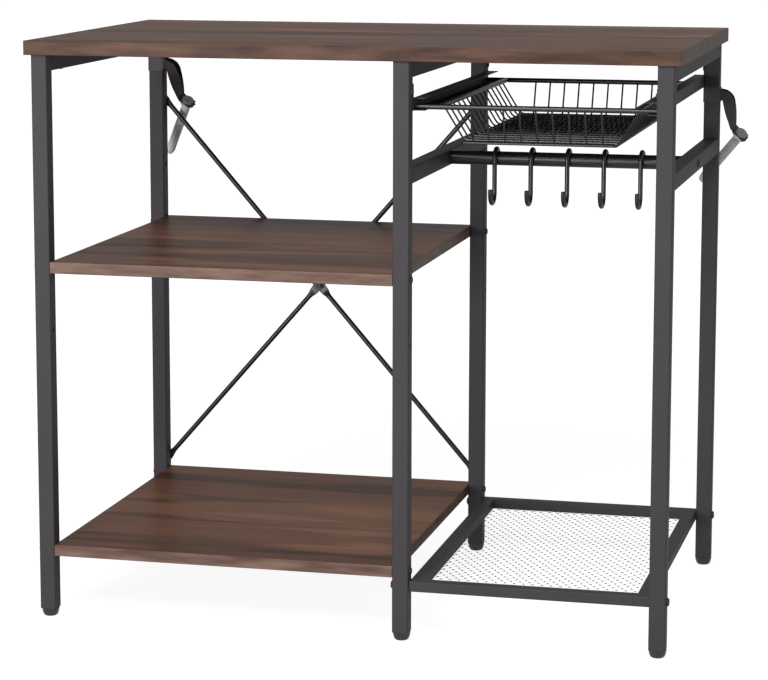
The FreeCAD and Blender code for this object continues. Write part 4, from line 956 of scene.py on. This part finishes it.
NUT_WIDE = 11.5 * MM
NUT_TALL = 5 * MM
NUT_BEVEL = 0.5 * MM
NUT_END = 0.93
nut = bmesh.new()
rows = []
for back, share in ((0, NUT_END), (NUT_BEVEL, 1), (NUT_TALL - NUT_BEVEL, 1), (NUT_TALL, NUT_END)):
    rows.append([nut.verts.new((crossing.x + share * NUT_WIDE / 2 * math.cos(math.pi / 3 * k),
                                back_face - back,
                                crossing.z + share * NUT_WIDE / 2 * math.sin(math.pi / 3 * k)))
                 for k in range(6)])
fit_piece("crossing_nut", skin(nut, rows), BLACKENED, "frame")

# ---------------------------------------------------------------- anti-tip anchors
# A nylon strap is slung round each rear corner leg. Its two halves leave the band on edge, turn
# down and end flat under the wide head of a wall screw, which already sits in its ribbed plug.

SETTLE_ROUNDS = 5
BAND_HALF = 12 * MM
BAND_THICK = 1.2 * MM
BAND_CORNER = 2.2 * MM
BAND_BEND = 1.5 * MM
STRAND_WIDE = 18.5 * MM
STRAND_THICK = 1.1 * MM
STRAND_ROUND = 0.3 * MM
STRAND_TURN = 13 * MM
TURN_STEPS = 12
TWIST_STEPS = 16
STAND_OFF = 1.5 * MM
EYE_SPOT = Vector((45, 25, -67)) * MM
FOLD = 1.5 * MM
FRONT_FLAT = 13.5 * MM
REAR_FLAT = 18 * MM
STRAP_END = 12 * MM
PLUG_PITCH = math.radians(31)
STRAP_NYLON = moulded_plastic("strap_nylon", srgb(66, 60, 64), 0.45, 0.35, 1200.0, 0.2)


CORNER_STEPS = 4


def square_loop(bm, half, corner, z):
    """A ring of vertices on a square with rounded corners."""
    loop = []
    for quarter in range(4):
        for step in range(CORNER_STEPS + 1):
            angle = math.pi / 2 * (quarter + step / CORNER_STEPS)
            across = (half - corner) * (1 if quarter in (0, 3) else -1) + corner * math.cos(angle)
            back = (half - corner) * (1 if quarter in (0, 1) else -1) + corner * math.sin(angle)
            loop.append(bm.verts.new((across, back, z)))
    return loop


def strap_half(bm, face, eye, axis, flat_run):
    """A half of the strap, from the leg's front (-1) or rear (1) face to its eye under the screw's
    head. The leg's axis at the band is the origin."""
    rightward = Vector(RIGHTWARD)
    start = Vector((0, face * (HALF_TUBE + BAND_THICK / 2), 0))
    corner = start + rightward * (HALF_TUBE + STAND_OFF)
    arriving = (eye - axis * eye.dot(axis)).normalized()
    for _ in range(SETTLE_ROUNDS):  # the fall and the flat's direction depend on each other
        flat = eye - arriving * flat_run
        down = Vector((0, flat.y - corner.y, flat.z - corner.z))
        reach, drop = flat.x - corner.x, down.length - STRAND_TURN
        down.normalize()
        turn = math.atan2(drop, reach) + math.asin(STRAND_TURN / math.hypot(drop, reach))
        falling = rightward * math.cos(turn) + down * math.sin(turn)
        arriving = (falling - axis * falling.dot(axis)).normalized()
    places = [(start, rightward, Vector((0, 0, -1))), (corner, rightward, Vector((0, 0, -1)))]
    for angle in (turn * step / TURN_STEPS for step in range(1, TURN_STEPS + 1)):
        spot = corner + STRAND_TURN * (rightward * math.sin(angle) + down * (1 - math.cos(angle)))
        places.append((spot, rightward * math.cos(angle) + down * math.sin(angle),
                       down * math.cos(angle) - rightward * math.sin(angle)))
    bent, falling, across = places[-1]
    across_eye = axis.cross(arriving)
    for share in (step / TWIST_STEPS for step in range(1, TWIST_STEPS)):
        places.append((bent.lerp(flat, share), falling, across.lerp(across_eye, share)))
    places.append((flat - falling * FOLD, falling, across_eye))
    places.append((flat, arriving, across_eye))
    places.append((eye + arriving * STRAP_END, arriving, across_eye))
    rows = []
    wide, thick, edge = STRAND_WIDE / 2, STRAND_THICK / 2, STRAND_ROUND
    for spot, direction, across in places:
        across = (across - direction * across.dot(direction)).normalized()
        upward = direction.cross(across)
        rows.append([bm.verts.new(spot + across * u + upward * v) for u, v in (
            (wide, -thick + edge), (wide, thick - edge), (wide - edge, thick), (edge - wide, thick),
            (-wide, thick - edge), (-wide, edge - thick), (edge - wide, -thick), (wide - edge, -thick))])
    skin(bm, rows)


PLUG_RADIUS = 8.0
COLLAR = 3.5
RIB_COUNT = 18
RIB_STEP = 6.0
RIB_DEEP = 1.0
RIB_FLANK = 1.5
RIB_GROOVE = 3.0
# Outlines as radius and way into the wall, in mm: of the plug, from its bore, and of the screw.
PLUG_PROFILE = [(0.4, 75), (3.0, 75), (3.0, 0), (12.4, 0), (13.0, 0.6), (13.0, 2.9), (12.4, COLLAR),
                (PLUG_RADIUS, COLLAR)]
for rib in range(1, RIB_COUNT + 1):
    top = COLLAR + rib * RIB_STEP
    PLUG_PROFILE += [(PLUG_RADIUS, top), (PLUG_RADIUS - RIB_DEEP, top + RIB_FLANK),
                     (PLUG_RADIUS - RIB_DEEP, top + RIB_GROOVE)]
PLUG_PROFILE += [(PLUG_RADIUS, 117.5), (6.2, 125.5), (5.0, 128), (2.0, 128)]
SCREW_PROFILE = [(0.4, 73.9), (2.0, 70), (2.95, 66), (2.95, 0), (9.6, 0), (10.0, -0.4), (10.0, -3.4),
                 (9.5, -4.0), (8.6, -4.0), (8.3, -3.5), (2.6, -3.4), (2.2, -1.8), (0.4, -1.8)]
plugs, screws = bmesh.new(), bmesh.new()
for side, lean in (("left", math.radians(30)), ("right", math.radians(40))):
    leg = centre(f"rear_{side}_leg")
    band_spot = Vector((leg.x, leg.y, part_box(f"{side}_anchor_strap")[1].z - BAND_HALF))
    axis = Vector((-math.sin(lean) * math.cos(PLUG_PITCH), math.sin(PLUG_PITCH),
                   -math.cos(lean) * math.cos(PLUG_PITCH)))
    strap = bmesh.new()
    skin(strap, [square_loop(strap, HALF_TUBE + BAND_THICK, BAND_CORNER, -BAND_HALF),
                 square_loop(strap, HALF_TUBE + BAND_THICK, BAND_CORNER, BAND_HALF),
                 square_loop(strap, HALF_TUBE, BAND_BEND, BAND_HALF),
                 square_loop(strap, HALF_TUBE, BAND_BEND, -BAND_HALF)], looped=True)
    for face, flat_run in ((-1, FRONT_FLAT), (1, REAR_FLAT)):
        strap_half(strap, face, EYE_SPOT + axis * face * STRAND_THICK / 2, axis, flat_run)
    bmesh.ops.translate(strap, vec=band_spot, verts=strap.verts)
    fit_piece(f"{side}_strap_loop", strap, STRAP_NYLON, "frame", [f"{side}_anchor_strap"])

    turn = axis.to_track_quat("Z", "Y").to_matrix().to_4x4()
    for bm, profile, shift, sides in ((plugs, PLUG_PROFILE, STRAND_THICK, 32),
                                      (screws, SCREW_PROFILE, -STRAND_THICK, 40)):
        earlier = set(bm.verts)
        turned(bm, [(radius * MM, along * MM) for radius, along in profile], sides)
        fresh = [vert for vert in bm.verts if vert not in earlier]
        place = Matrix.Translation(band_spot + EYE_SPOT + axis * shift) @ turn
        bmesh.ops.transform(bm, matrix=place, verts=fresh)
PLUG_PLASTIC = moulded_plastic("wall_plug_plastic", srgb(246, 245, 247), 0.35, 0.5)
fit_piece("wall_plugs", plugs, PLUG_PLASTIC, "frame", ["anchor_plugs"])
ZINC = coated_metal("zinc_plate", srgb(140, 140, 142), srgb(168, 168, 170), 0.3, 0.5, 1200.0, 0.04)
fit_piece("wall_screws", screws, ZINC, "frame", ["anchor_screws"])
coat_nodes(["shelf_inserts", "hook_bar_inserts"], ZINC)
